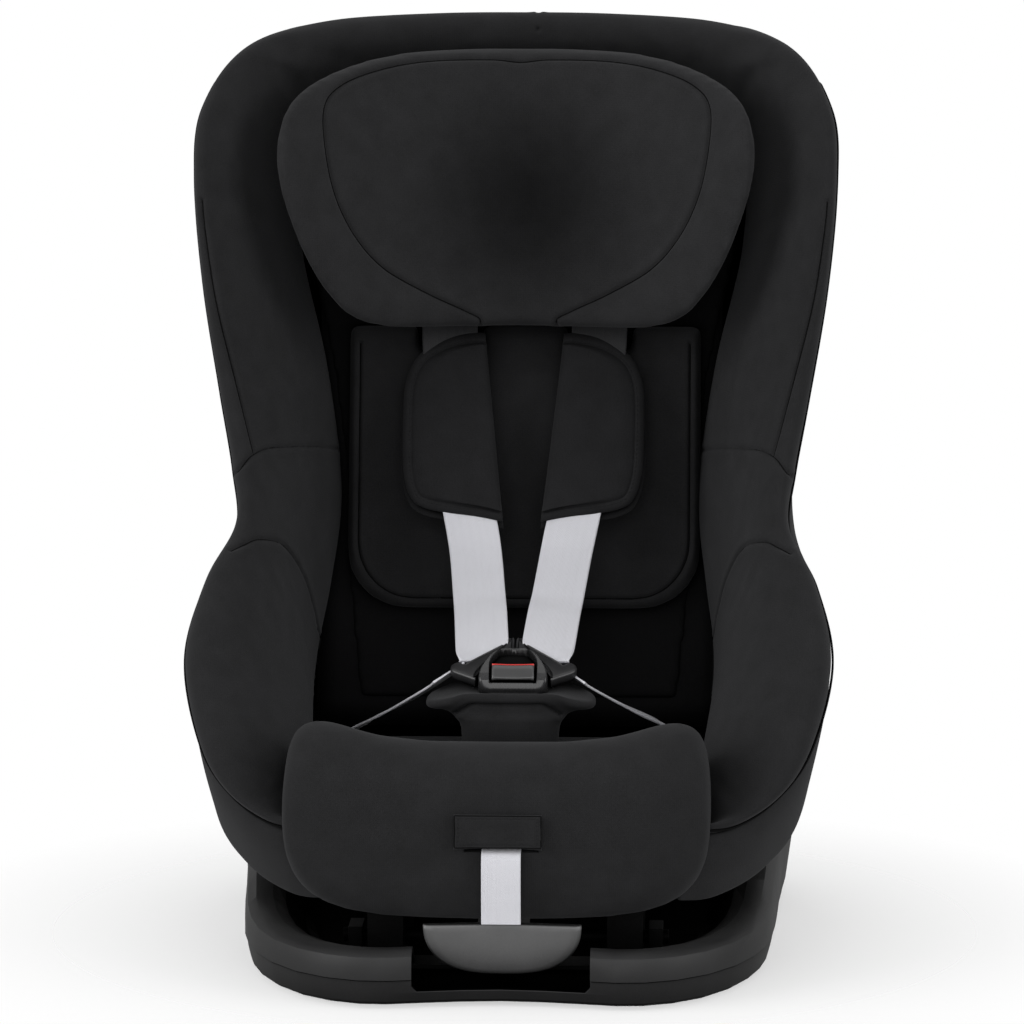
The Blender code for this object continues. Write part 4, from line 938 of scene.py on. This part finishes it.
def pad_surface(outline, sign, lift, crown, thick, grow=0.0, drop=0.0):
    """A D-shaped padded leaf: bound outer edge, folded inner edge. Returns grids of front and back points."""
    fold_line = unit(outline[-1] - outline[0])
    along = np.linalg.norm(np.diff(outline, axis=0), axis=1)
    share = np.concatenate([[0.0], np.cumsum(along)]) / along.sum()
    tangent = np.gradient(outline, axis=0)
    tangent /= np.linalg.norm(tangent, axis=1)[:, None]
    inward = np.stack([tangent[:, 1], -tangent[:, 0]], axis=1)
    blend = smooth_step(np.minimum(share, 1 - share), 0.0, 0.06)[:, None]
    ends = np.where(share[:, None] < 0.5, fold_line, -fold_line)
    inward = inward * blend + ends * (1 - blend)
    steps = [(d, 0.0) for d in (0.0, 0.0004, 0.0012, 0.0025, 0.004, 0.0054, 0.0062, 0.0068, 0.0074, 0.0082)]
    steps += [(0.0082, k) for k in (0.06, 0.14, 0.26, 0.42, 0.6, 0.78, 0.9, 0.96, 0.985, 1.0)]
    ease = (share * share * (3 - 2 * share))[:, None]
    front, back = [], []
    for d, k in steps:
        edge = outline + inward * (d - grow)
        fold = edge[0] + (edge[-1] - edge[0]) * ease
        flat = edge + (fold - edge) * k
        bead = math.sin(math.pi * d / BINDING) ** 0.6 if 0 < d < BINDING else 0.0
        groove = math.exp(-(((d + k * 0.03 - BINDING) / 0.0009) ** 2))
        puff = min((d + k * 0.06) / 0.016, 1.0) ** 0.7
        rise = puff * (1 - max(0.0, (k - 0.8) / 0.2) ** 2.6) ** 0.5
        top = crown * rise + thick * 0.32 * bead - 0.0012 * groove
        front.append([back_point(sign * x, z - drop, lift(z) + top) for x, z in flat])
        back.append([back_point(sign * x, z - drop, lift(z) - thick * 0.5 * rise) for x, z in flat])
    return np.array(front), np.array(back)


def leaf(front, back):
    """A closed solid between two grids that share their first and last rows' places."""
    rows, cols = front.shape[:2]
    points = np.concatenate([front.reshape(-1, 3), back.reshape(-1, 3)])
    half, faces = rows * cols, []
    for i in range(rows - 1):
        for j in range(cols - 1):
            a, b = i * cols + j, (i + 1) * cols + j
            faces += [(a, b, b + 1, a + 1), (half + a, half + a + 1, half + b + 1, half + b)]
    edge = [(0, j) for j in range(cols)] + [(i, cols - 1) for i in range(1, rows)]
    edge += [(rows - 1, j) for j in range(cols - 2, -1, -1)] + [(i, 0) for i in range(rows - 2, 0, -1)]
    loop = [i * cols + j for i, j in edge]
    faces += [(a, b, half + b, half + a) for a, b in zip(loop, loop[1:] + loop[:1])]
    return points, faces


def clean(obj):
    """Merges points that meet and turns the faces outward."""
    work = bmesh.new()
    work.from_mesh(obj.data)
    bmesh.ops.remove_doubles(work, verts=work.verts, dist=2e-5)
    bmesh.ops.dissolve_degenerate(work, edges=work.edges, dist=1e-6)
    bmesh.ops.recalc_face_normals(work, faces=work.faces)
    work.to_mesh(obj.data)
    work.free()
    obj.data.shade_smooth()
    return obj


def pad_lift(z):
    """How far the middle of a shoulder pad lies in front of the backrest at height z."""
    t = np.clip((SHOULDER_PAD[0][1] - z) / (SHOULDER_PAD[0][1] - SHOULDER_PAD[-1][1]), 0.0, 1.0)
    return 0.0385 + 0.03 * t**1.5


def build_shoulder_pads():
    """Each pad: a bound leaf over the strap, a flatter one under it, and a row of stitches."""
    outline = spline(SHOULDER_PAD, 0.002)
    facing = np.array(back_point(0, 0, 1) - back_point(0, 0, 0))
    for side, sign in SIDES:
        drift = np.array([PAD_DRIFT[side], 0.0, 0.0])

        def pad_leaf(name, *shape):
            front, back = (grid + drift for grid in pad_surface(outline, sign, *shape))
            leaf_obj = clean(make(f"shoulder_pad_{side}_{name}", *leaf(front, back), "pad_fabric"))
            return front, divide(leaf_obj)

        front, pad = pad_leaf("cover", pad_lift, 0.0062, 0.0045)
        place(pad, "headrest", "pad_fabric", f"shoulder_pad_{side}")
        under = pad_leaf("back_leaf", lambda z: pad_lift(z) - 0.0068, 0.002, 0.003, 0.0015, 0.0045)[1]
        place(under, "headrest", "pad_fabric")
        line = front[5][3:-3]
        thread = stitches(line, np.tile(facing, (len(line), 1)), 0.0034, 0.0021, 0.00022)
        place(make(f"shoulder_pad_{side}_stitches", *joined(thread), "thread"), "headrest", "pad_fabric")


# ---- webbing ----
# Half of a belt's upper face, from its edge inward: share of the half-width, share of the half-thickness.
SELVEDGE = ((0.985, 0.8), (0.95, 1.25), (0.9, 1.0), (0.5, 0.9))


def strap_rings(path, across, width, step=0.0025):
    """Cross-sections of flat webbing along a path, and each point's place on the belt in metres."""
    rows = spline(np.hstack([path, across]), step)
    middle, side = rows[:, :3], rows[:, 3:]
    along = np.gradient(middle, axis=0)
    along /= np.linalg.norm(along, axis=1)[:, None]
    side = side - along * np.sum(side * along, axis=1)[:, None]
    side /= np.linalg.norm(side, axis=1)[:, None]
    normal = np.cross(along, side)
    half, t = width / 2, WEB_THICK / 2
    upper = [(-1.0, 0.0)] + [(-s, h) for s, h in SELVEDGE] + [(0.0, 0.9)] + list(SELVEDGE[::-1])
    profile = [(s * half, t * h) for s, h in upper]
    profile += [(-s, -h) for s, h in profile]
    run = np.concatenate([[0.0], np.cumsum(np.linalg.norm(np.diff(middle, axis=0), axis=1))])
    rings = [m + np.array([s * w + n * h for w, h in profile]) for m, s, n in zip(middle, side, normal)]
    uvs = [[(w, r) for w, _ in profile] for r in run]
    return np.array(rings), np.array(uvs)


def strap(name, rings, uvs, material="webbing"):
    obj = make(name, *loft(list(rings)), material, uvs.reshape(-1, 2))
    obj.data.set_sharp_from_angle(angle=math.radians(50))
    return obj


def strap_run(side, label, rings, uvs, spans):
    """One strap cut into runs, each given as (end ring, body a, body b, nodes): a run on one body rides on it, a
    run between two bodies stays in place unparented.
    """
    first = 0
    for k, (last, body_a, body_b, nodes) in enumerate(spans):
        piece = strap(f"{label}_{side}_{k + 1}", rings[first:last + 1], uvs[first:last + 1])
        if body_a == body_b:
            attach(piece, body_a)
        else:
            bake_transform(piece)
        if nodes:
            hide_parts(*nodes)
        first = last


def ring_near(rings, z):
    return int(np.argmin(np.abs(rings.mean(axis=1)[:, 2] - z)))


def build_harness():
    for side, sign in SIDES:
        at_back = [back_point(sign * x, z, q) for x, z, q in (
            (0.053, 0.4245, -0.047), (0.053, 0.4225, -0.02), (0.053, 0.4195, 0.013),
            (0.052, 0.408, 0.031), (0.05, 0.38, 0.036), (0.045, 0.34, 0.048),
            (0.0375, 0.305, 0.064))]
        in_air = to_side([(0.0312, 0.0425, 0.272), (0.0282, 0.004, 0.245), (0.0262, -0.026, 0.2335)], sign)
        at_buckle = [on_buckle(0.0232 * sign, 0.0245, -0.0008), on_buckle(0.0212 * sign, 0.0115, -0.0045)]
        free = np.concatenate([at_back, in_air])
        share = smooth_step(free[:, 2], 0.225, 0.29)
        free[:, 0] += PAD_DRIFT[side] * share + BUCKLE_DRIFT * (1 - share)
        turned = [(0.98, -0.14, -0.06), (0.91, -0.35, -0.18), (0.78, -0.58, -0.24), (0.74, -0.63, -0.23)]
        across = [(1.0, 0.0, 0.0)] * 8 + [(x, y * sign, z * sign) for x, y, z in turned]
        rings, uvs = strap_rings(np.concatenate([free, at_buckle]), across, 0.038)
        rings, uvs = rings[::-1], uvs[::-1]
        strap_run(side, "shoulder_strap", rings, uvs, [
            (ring_near(rings, 0.231), f"tongue_{side}", "buckle", [f"lower_strap_{side}"]),
            (ring_near(rings, 0.255), "buckle", "shell", []),
            (len(rings) - 1, "shell", "headrest", [f"shoulder_strap_{side}"]),
        ])
        build_lap_strap(side, sign)
        build_tether(side, sign)


def build_lap_strap(side, sign):
    path = to_side([
        on_buckle(0.04, -0.003, -0.004), (0.048, -0.086, 0.197), (0.064, -0.064, 0.183),
        (0.086, -0.036, 0.166), (0.108, -0.008, 0.151), (0.118, 0.005, 0.142)], sign)
    across = to_side([(-0.6, 0.76, 0.24)] * 2 + [(-0.62, 0.76, 0.2)] * 4, sign)
    rings, uvs = strap_rings(path, across, 0.028)
    strap_run(side, "lap_strap", rings, uvs, [
        (ring_near(rings, 0.195), f"tongue_{side}", "buckle", []),
        (len(rings) - 1, "buckle", "shell", [f"lap_strap_{side}"]),
    ])


def build_tether(side, sign):
    """The dark strip that ties the pad to the seat, above the pad."""
    path = [back_point(sign * x + PAD_DRIFT[side], z, q) for x, z, q in (
        (0.0522, 0.433, 0.03), (0.0522, 0.422, 0.0375), (0.0516, 0.41, 0.041), (0.05, 0.4, 0.0415))]
    rings, uvs = strap_rings(path, [(1.0, 0.0, 0.0)] * 4, 0.041)
    place(strap(f"pad_tether_{side}", rings, uvs, "dark_webbing"), "headrest", "webbing")


def build_adjuster_tail():
    low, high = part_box("adjuster_strap_tail")
    y, mouth = low.y + WEB_THICK / 2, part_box("adjuster_housing")[0]
    path = [
        (0, mouth.y + 0.02, mouth.z + 0.008), (0, mouth.y + 0.004, mouth.z + 0.0078), (0, y + 0.0035, 0.107),
        (0, y, 0.103), (0, y - 0.0008, 0.09), (0, y, 0.075), (0, y + 0.0009, 0.066),
        (0, y + 0.0018, low.z)]
    rings, uvs = strap_rings(path, [(1.0, 0.0, 0.0)] * len(path), high.x - low.x)
    strap_run("front", "adjuster_tail", rings, uvs, [
        (ring_near(rings, 0.103), "shell", "adjuster_tail", []),
        (len(rings) - 1, "adjuster_tail", "adjuster_tail", ["adjuster_strap_tail"]),
    ])


def build_crotch_straps():
    for node, body in (("crotch_strap_lower", "shell"), ("crotch_strap_upper", "buckle")):
        low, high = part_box(node)
        y = (low.y + high.y) / 2
        path = [(0.0, y, z) for z in np.linspace(low.z, high.z, 4)]
        rings, uvs = strap_rings(path, [(1.0, 0.0, 0.0)] * 4, high.x - low.x)
        place(strap(node + "_web", rings, uvs), body, "webbing", node)


# ---- buckle, tongues and crotch pad ----
LOW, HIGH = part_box("buckle_housing")
BUCKLE_CENTRE = (LOW + HIGH) / 2
BUCKLE_TILT = math.radians(20)
BUCKLE_ALONG = Vector((0, math.cos(BUCKLE_TILT), math.sin(BUCKLE_TILT)))
BUCKLE_UP = Vector((0, -math.sin(BUCKLE_TILT), math.cos(BUCKLE_TILT)))


def on_buckle(x, along, up):
    return BUCKLE_CENTRE + Vector((x + BUCKLE_DRIFT, 0, 0)) + BUCKLE_ALONG * along + BUCKLE_UP * up


def plate(outline, levels):
    """A rounded slab: the outline (x, along) at each (up, inset) level, in the buckle's frame."""
    outline = np.asarray(outline, float)
    tangent = np.roll(outline, -1, axis=0) - np.roll(outline, 1, axis=0)
    tangent /= np.linalg.norm(tangent, axis=1)[:, None]
    inward = np.stack([-tangent[:, 1], tangent[:, 0]], axis=1)
    area = np.sum(outline[:, 0] * np.roll(outline[:, 1], -1) - outline[:, 1] * np.roll(outline[:, 0], -1))
    inward *= math.copysign(1.0, area)
    return loft([[on_buckle(x, s, up) for x, s in outline + inward * inset] for up, inset in levels])


# Half-width of the buckle housing along its length, from the front edge to the rear.
HOUSING_PLAN = (
    (-0.0272, 0.0165), (-0.0262, 0.0208), (-0.0235, 0.0236), (-0.0195, 0.0244), (-0.015, 0.0236),
    (-0.0095, 0.0218), (-0.003, 0.019), (0.0045, 0.0147), (0.0095, 0.0095), (0.012, 0.0045), (0.0126, 0.0),
)
WINDOW_WELL = (
    (0.0, -0.011), (0.0146, -0.011), (0.014, -0.004), (0.0118, 0.002), (0.008, 0.0066), (0.0, 0.008),
)
WINDOW_REAR, WINDOW_FRONT, WINDOW_HALF = 0.0086, -0.024, 0.0164


def housing_height(x, s):
    """The housing's upper surface: a frame round a sunken window."""
    rim = np.interp(s, (-0.0272, -0.0262, -0.0245, -0.0232, -0.018, -0.0125, 0.0, 0.0068, 0.01, 0.0126),
                    (-0.0052, -0.0034, -0.0006, 0.0018, 0.0046, 0.0066, 0.0086, 0.0094, 0.0088, 0.007))
    arch = 1 - 0.62 * smooth_step(s, -0.014, 0.01) ** 2
    beyond = max(s - WINDOW_REAR, WINDOW_FRONT - s) / 0.005 + 1.0
    reach = max(abs(x) / (WINDOW_HALF * arch**0.5), beyond)
    sunk = 1 - smooth_step(reach, 0.95, 1.04)
    return rim - sunk * (rim + 0.004)


def build_buckle():
    right = [(half, s) for s, half in spline(HOUSING_PLAN, 0.0005)]
    front_edge = [(x, HOUSING_PLAN[0][0]) for x in np.linspace(-0.0155, 0.0155, 32)]
    outline = np.array(right + [(-x, s) for x, s in right[-2::-1]] + front_edge)
    centre = np.array([0.0, -0.006])
    top = [(share, 0.0) for share in (0.004, *np.linspace(0.04, 0.95, 80))]
    top += [(0.965, -0.0003), (0.985, -0.0009), (0.996, -0.0018)]
    under = ((1.01, -0.0072), (1.008, -0.0084), (0.99, -0.0098), (0.94, -0.0106), (0.5, -0.0108),
             (0.01, -0.0108))
    rings = []
    for share, level in top:
        flat = centre + (outline - centre) * share
        rings.append([on_buckle(x, s, housing_height(x, s) + level) for x, s in flat])
    for share, up in under:
        rings.append([on_buckle(x, s, up) for x, s in centre + (outline - centre) * share])
    housing = clean(make("buckle_housing_shell", *loft(rings), "gloss"))
    place(housing, "buckle", "buckle_plastic", "buckle_housing")
    # Painted shade: the near-black well stands in for the shade inside the buckle's window.
    well = spline(WINDOW_WELL, 0.001)
    outline = np.concatenate([well, to_side(well, -1.0)[-2:0:-1]])
    levels = ((-0.003, 0.0), (0.0034, 0.0), (0.004, 0.0005))
    place(clean(make("buckle_window_well", *plate(outline, levels), "seam")), "buckle", "buckle_plastic")
    build_button()


def build_button():
    """The release button at the front of the window, with its red rear lip."""
    half = 0.0148
    cap = ((-0.0126, 0.0015), (-0.0128, 0.0078), (-0.0136, 0.0088), (-0.015, 0.0087), (-0.018, 0.007),
           (-0.0208, 0.005), (-0.0223, 0.0041), (-0.0228, 0.0032), (-0.0228, 0.0012))
    lip = ((-0.0131, 0.003), (-0.0117, 0.003), (-0.0117, 0.0078), (-0.0122, 0.0087), (-0.0131, 0.009))
    rings = []
    for x in np.linspace(-half, half, 25):
        end = 0.0008 * (abs(x) / half) ** 10
        dip = 0.0007 * (1 - (x / 0.015) ** 2)
        rings.append([on_buckle(x, s, up - end - (dip if up > 0.0035 else 0.0)) for s, up in cap])
    button = clean(make("buckle_button_cap", *loft(rings), "button"))
    place(button, "buckle_button", "buckle_plastic", "buckle_button")
    rings = []
    for x in np.linspace(-half, half, 17):
        dip = 0.0005 * (1 - (x / 0.015) ** 2)
        rings.append([on_buckle(x, s, up - dip) for s, up in lip])
    red = clean(make("buckle_button_red_lip", *loft(rings), "red_plastic"))
    place(red, "buckle_button", "red_plastic")


# Outline of the right-hand tongue in the buckle's frame: across, along.
TONGUE = (
    (0.0006, 0.014), (0.0006, 0.0385), (0.003, 0.0395), (0.006, 0.0388), (0.0072, 0.035), (0.0078, 0.0308),
    (0.016, 0.0215), (0.0255, 0.0112), (0.0345, 0.0018), (0.0368, 0.0035), (0.0405, 0.0042), (0.0438, 0.0012),
    (0.0448, -0.003), (0.044, -0.0068), (0.04, -0.0105), (0.033, -0.015), (0.0266, -0.019),
    (0.0258, -0.013), (0.0242, -0.0075), (0.021, -0.0005), (0.017, 0.0062), (0.0114, 0.0114),
    (0.006, 0.0136), (0.0006, 0.014),
)
TONGUE_LEVELS = ((-0.0086, 0.003), (-0.008, 0.0016), (-0.005, 0.0004), (-0.0014, 0.0), (-0.0002, 0.0003),
                 (0.0004, 0.001), (0.0006, 0.0022))


def build_tongues():
    for side, sign in SIDES:
        outline = spline(to_side(TONGUE, sign), 0.0012)[:-1]
        body = clean(make(f"tongue_{side}_wing", *plate(outline, TONGUE_LEVELS), "tongue"))
        place(body, f"tongue_{side}", "tongue_plastic", f"tongue_{side}")
        lip = [on_buckle(sign * x, s, up) for x, s, up in (
            (0.0085, 0.0286, 0.0002), (0.016, 0.02, 0.0005),
            (0.0255, 0.0097, 0.0005), (0.034, 0.0006, 0.0002))]
        ridge = tube(spline(lip, 0.0015), 0.0009, 10)
        place(clean(make(f"tongue_{side}_slot_lip", *ridge, "tongue")), f"tongue_{side}", "tongue_plastic")


# The crotch pad from its foot up: height, half-width, half-depth. Its front stays in one plane.
CROTCH_PAD = (
    (0.156, 0.034, 0.015), (0.164, 0.0343, 0.0165), (0.171, 0.0352, 0.0175), (0.176, 0.0378, 0.0185),
    (0.1805, 0.0425, 0.0205), (0.1842, 0.0495, 0.024), (0.1872, 0.056, 0.0275), (0.1895, 0.0592, 0.0288),
    (0.1915, 0.06, 0.029), (0.1933, 0.0588, 0.0283), (0.194, 0.0555, 0.0262), (0.1936, 0.048, 0.022),
    (0.1926, 0.03, 0.014), (0.1922, 0.001, 0.0005),
)


def build_crotch_pad():
    """A padded collar under the buckle that sweeps into a stem, with a bound front edge."""
    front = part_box("crotch_pad")[0].y - 0.0005
    rings = []
    deepest = 0.029
    for z, half_x, half_y in spline(CROTCH_PAD, 0.0012):
        cap = smooth_step(z, 0.176, 0.19)
        middle = front + (half_y if z < 0.1925 and half_x > 0.03 else deepest) * (1 - cap) + deepest * cap
        ring = []
        for a in np.linspace(0, 2 * math.pi, 96, endpoint=False):
            cx, sy = math.cos(a), math.sin(a)
            x = half_x * math.copysign(abs(cx) ** 0.66, cx)
            y = middle + half_y * math.copysign(abs(sy) ** 0.66, sy)
            sag = 0.0065 * cap * smooth_step(abs(x), 0.028, 0.062)
            tilt = 0.003 * cap * smooth_step(y - front, 0.022, 0.058)
            lip = 0.0016 * cap * smooth_step(front + 0.008 - y, 0.0, 0.006)
            lip *= 1 - smooth_step(abs(x), 0.034, 0.044)
            ring.append((x, y, z - sag + tilt + lip))
        rings.append(ring)
    obj = clean(make("crotch_pad_cover", *loft(rings), "fabric"))
    obj.data.transform(Matrix.Translation((BUCKLE_DRIFT - 0.0015, 0.0, 0.0)))
    soften(obj, 2)
    half = 0.0375
    arc = [(x, 0.1872 - 0.0075 * smooth_step(abs(x), 0.026, half)) for x in np.linspace(-half, half, 13)]
    points, normals = drape(obj, arc)
    carve(obj, [points], 0.0022, 0.0013, 3)
    y = front + 0.015
    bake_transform(obj)
    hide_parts("crotch_pad")
    thread = stitches(points + np.array([0.0, -0.0002, 0.0019]), normals, 0.0032, 0.0021, 0.00024)
    place(make("crotch_pad_stitches", *joined(thread), "thread"), "buckle", "pad_fabric")


FLAP_RAISE = 0.0028


def flap_hem(half, foot, top, inset):
    """The flap's four sides, moved in by inset, as pairs of (x, z) points."""
    x, low, high = half - inset, foot + inset, top - inset
    corners = [(-x, low), (-x, high), (x, high), (x, low)]
    return list(zip(corners, corners[1:] + corners[:1]))


def build_flap():
    """The stitched fabric flap over the adjuster. It hangs FLAP_RAISE above its CAD solid."""
    low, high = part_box("adjuster_flap")
    top, foot, half, y = high.z + FLAP_RAISE, low.z + FLAP_RAISE, high.x, low.y - 0.0022
    cols, rows, hem_inset = 61, 31, 0.0026
    front, back = [], []
    for v in np.linspace(0, 1, rows):
        line_f, line_b = [], []
        for u in np.linspace(-1, 1, cols):
            x = u * half * (1.0 - 0.03 * math.sin(math.pi * v) + 0.01 * v)
            z = top + (foot - 0.0012 * abs(u) ** 3 - top) * v
            edge = min((1 - abs(u)) * half, v * (top - foot), (1 - v) * (top - foot))
            puff = 0.0009 * min(edge / 0.002, 1.0) ** 0.6
            puff -= 0.0005 * math.exp(-(((edge - hem_inset) / 0.0006) ** 2))
            wave = 0.00035 * math.sin(7 * u + 2.0) * v
            settle_back = 0.0012 * (1 - v) ** 4
            line_f.append((x, y - puff - wave + settle_back, z))
            line_b.append((x, y + 0.0014 - wave + settle_back, z))
        front.append(line_f)
        back.append(line_b)
    drift = np.array([CUSHION_DRIFT / 2, 0.0, 0.0])
    sheet = leaf(np.array(front) + drift, np.array(back) + drift)
    flap = clean(make("adjuster_flap_cloth", *sheet, "fabric"))

    def draped_hem(inset):
        return [drape(flap, np.array(ends) + drift[[0, 2]]) for ends in flap_hem(half, foot, top, inset)]

    points, normals = (np.concatenate(parts) for parts in zip(*draped_hem(hem_inset)))
    thread = stitches(points, normals, 0.003, 0.002, 0.0002)
    # Painted shadow: near-black cords along the flap's edges.
    hem = joined([tube(line, 0.00045) for line, _ in draped_hem(0.0005)])
    place(make("adjuster_flap_hem", *hem, "seam"), "adjuster_flap", "fabric")
    place(flap, "adjuster_flap", "fabric", "adjuster_flap")
    place(make("adjuster_flap_stitches", *joined(thread), "thread"), "adjuster_flap", "fabric")


def build_paddle():
    """The recline handle: a half-moon paddle with soft edges."""
    low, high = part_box("recline_handle")
    half, top, foot = high.x, high.z, low.z - 0.004
    drop, slope = 0.0015, 0.22
    ring = []
    for a in np.linspace(0, math.pi, 49):
        cx, sz = math.cos(a), math.sin(a)
        across = half * math.copysign(abs(cx) ** 0.72, cx)
        ring.append((across, top - drop - (top - drop - foot) * abs(sz) ** 0.86))
    ring += [(-half * f, top - drop * abs(f)) for f in np.linspace(0.96, -0.96, 25)]
    ring = np.array(ring)
    middle = np.array([0.0, 0.042])
    rings = []
    for depth, k in (
            (-0.0004, 0.002), (-0.0004, 0.3), (-0.0002, 0.62), (0.0001, 0.85), (0.0006, 0.95),
            (0.0014, 0.985), (0.003, 1.0), (0.0065, 1.0), (0.0082, 0.985), (0.0088, 0.95)):
        flat = middle + (ring - middle) * k
        rings.append([(x, low.y + 0.0012 + depth + slope * (top - z), z) for x, z in flat])
    stem_front, stem = 0.0105, 0.075
    for depth in (stem_front, stem_front + stem):
        rings.append([(x * 0.33, low.y + depth, 0.045 + (z - 0.04) * 0.22) for x, z in ring])
    obj = clean(make("recline_paddle", *loft(rings), "grey_plastic"))
    place(obj, "recline_handle", "grey_plastic", "recline_handle")


# ---- stage ----
def floor_paint():
    """Pale paint that fades out away from the seat."""
    shader = Shader("pale_floor")
    shader.set(Base_Color=(0.96, 0.96, 0.96, 1.0), Roughness=0.75)
    reach = shader.vector("LENGTH", shader.place(), out="Value")
    shader.set(Alpha=shader.ramp(reach, 0.22, 0.46, 0.5, 0.0))
    return shader.material


def build_floor():
    work = bmesh.new()
    bmesh.ops.create_circle(work, cap_ends=True, segments=96, radius=1.5)
    floor = add_work("floor", work, floor_paint())
    floor.location.z = CAD_BOX[0][2] - 0.0005


def build_light():
    """A white room that lights softly, and large soft boxes round the seat."""
    world = bpy.data.worlds.new("studio")
    world.use_nodes = True
    nodes, links = world.node_tree.nodes, world.node_tree.links
    seen = nodes.new("ShaderNodeLightPath").outputs["Is Camera Ray"]
    strength = nodes.new("ShaderNodeMapRange")
    strength.inputs["To Min"].default_value = 0.42
    strength.inputs["To Max"].default_value = 1.0
    links.new(seen, strength.inputs["Value"])
    links.new(strength.outputs["Result"], nodes["Background"].inputs["Strength"])
    nodes["Background"].inputs["Color"].default_value = (1.0, 1.0, 1.0, 1.0)
    SCENE.world = world
    for name, spot, size, power in SOFT_BOXES:
        light = bpy.data.lights.new(name, "AREA")
        light.size = size
        light.energy = power
        lamp = add(name, light)
        lamp.location = spot
        lamp.rotation_euler = (Vector((0, 0, 0.3)) - Vector(spot)).to_track_quat("-Z", "Y").to_euler()
    SCENE.view_settings.view_transform = "Standard"


def build_camera():
    """A long lens a little above the seat and a touch to its right-hand side."""
    azimuth, elevation, distance = math.radians(2.0), math.radians(8.0), 4.0
    middle = (CAD_BOX[0][1] + CAD_BOX[1][1]) / 2
    target = Vector((0.0, middle - 0.0075, 0.32))
    reach = Vector((math.sin(azimuth) * math.cos(elevation), -math.cos(azimuth) * math.cos(elevation),
                    math.sin(elevation)))
    lens = bpy.data.cameras.new("camera")
    lens.lens, lens.sensor_width = 194.94, 36.0
    lens.shift_x, lens.shift_y = -0.00195, -0.0195
    camera = add("camera", lens)
    camera.location = target + reach * distance
    camera.rotation_euler = (-reach).to_track_quat("-Z", "Y").to_euler()
    SCENE.camera = camera


MATERIALS = make_materials()
dress_cad()
build_rim()
build_skirts()
build_headrest()
build_insert()
build_back_pads()
build_cushion()
build_shoulder_pads()
build_harness()
build_adjuster_tail()
build_crotch_straps()
build_buckle()
build_tongues()
build_crotch_pad()
build_flap()
build_paddle()
build_floor()
build_light()
build_camera()
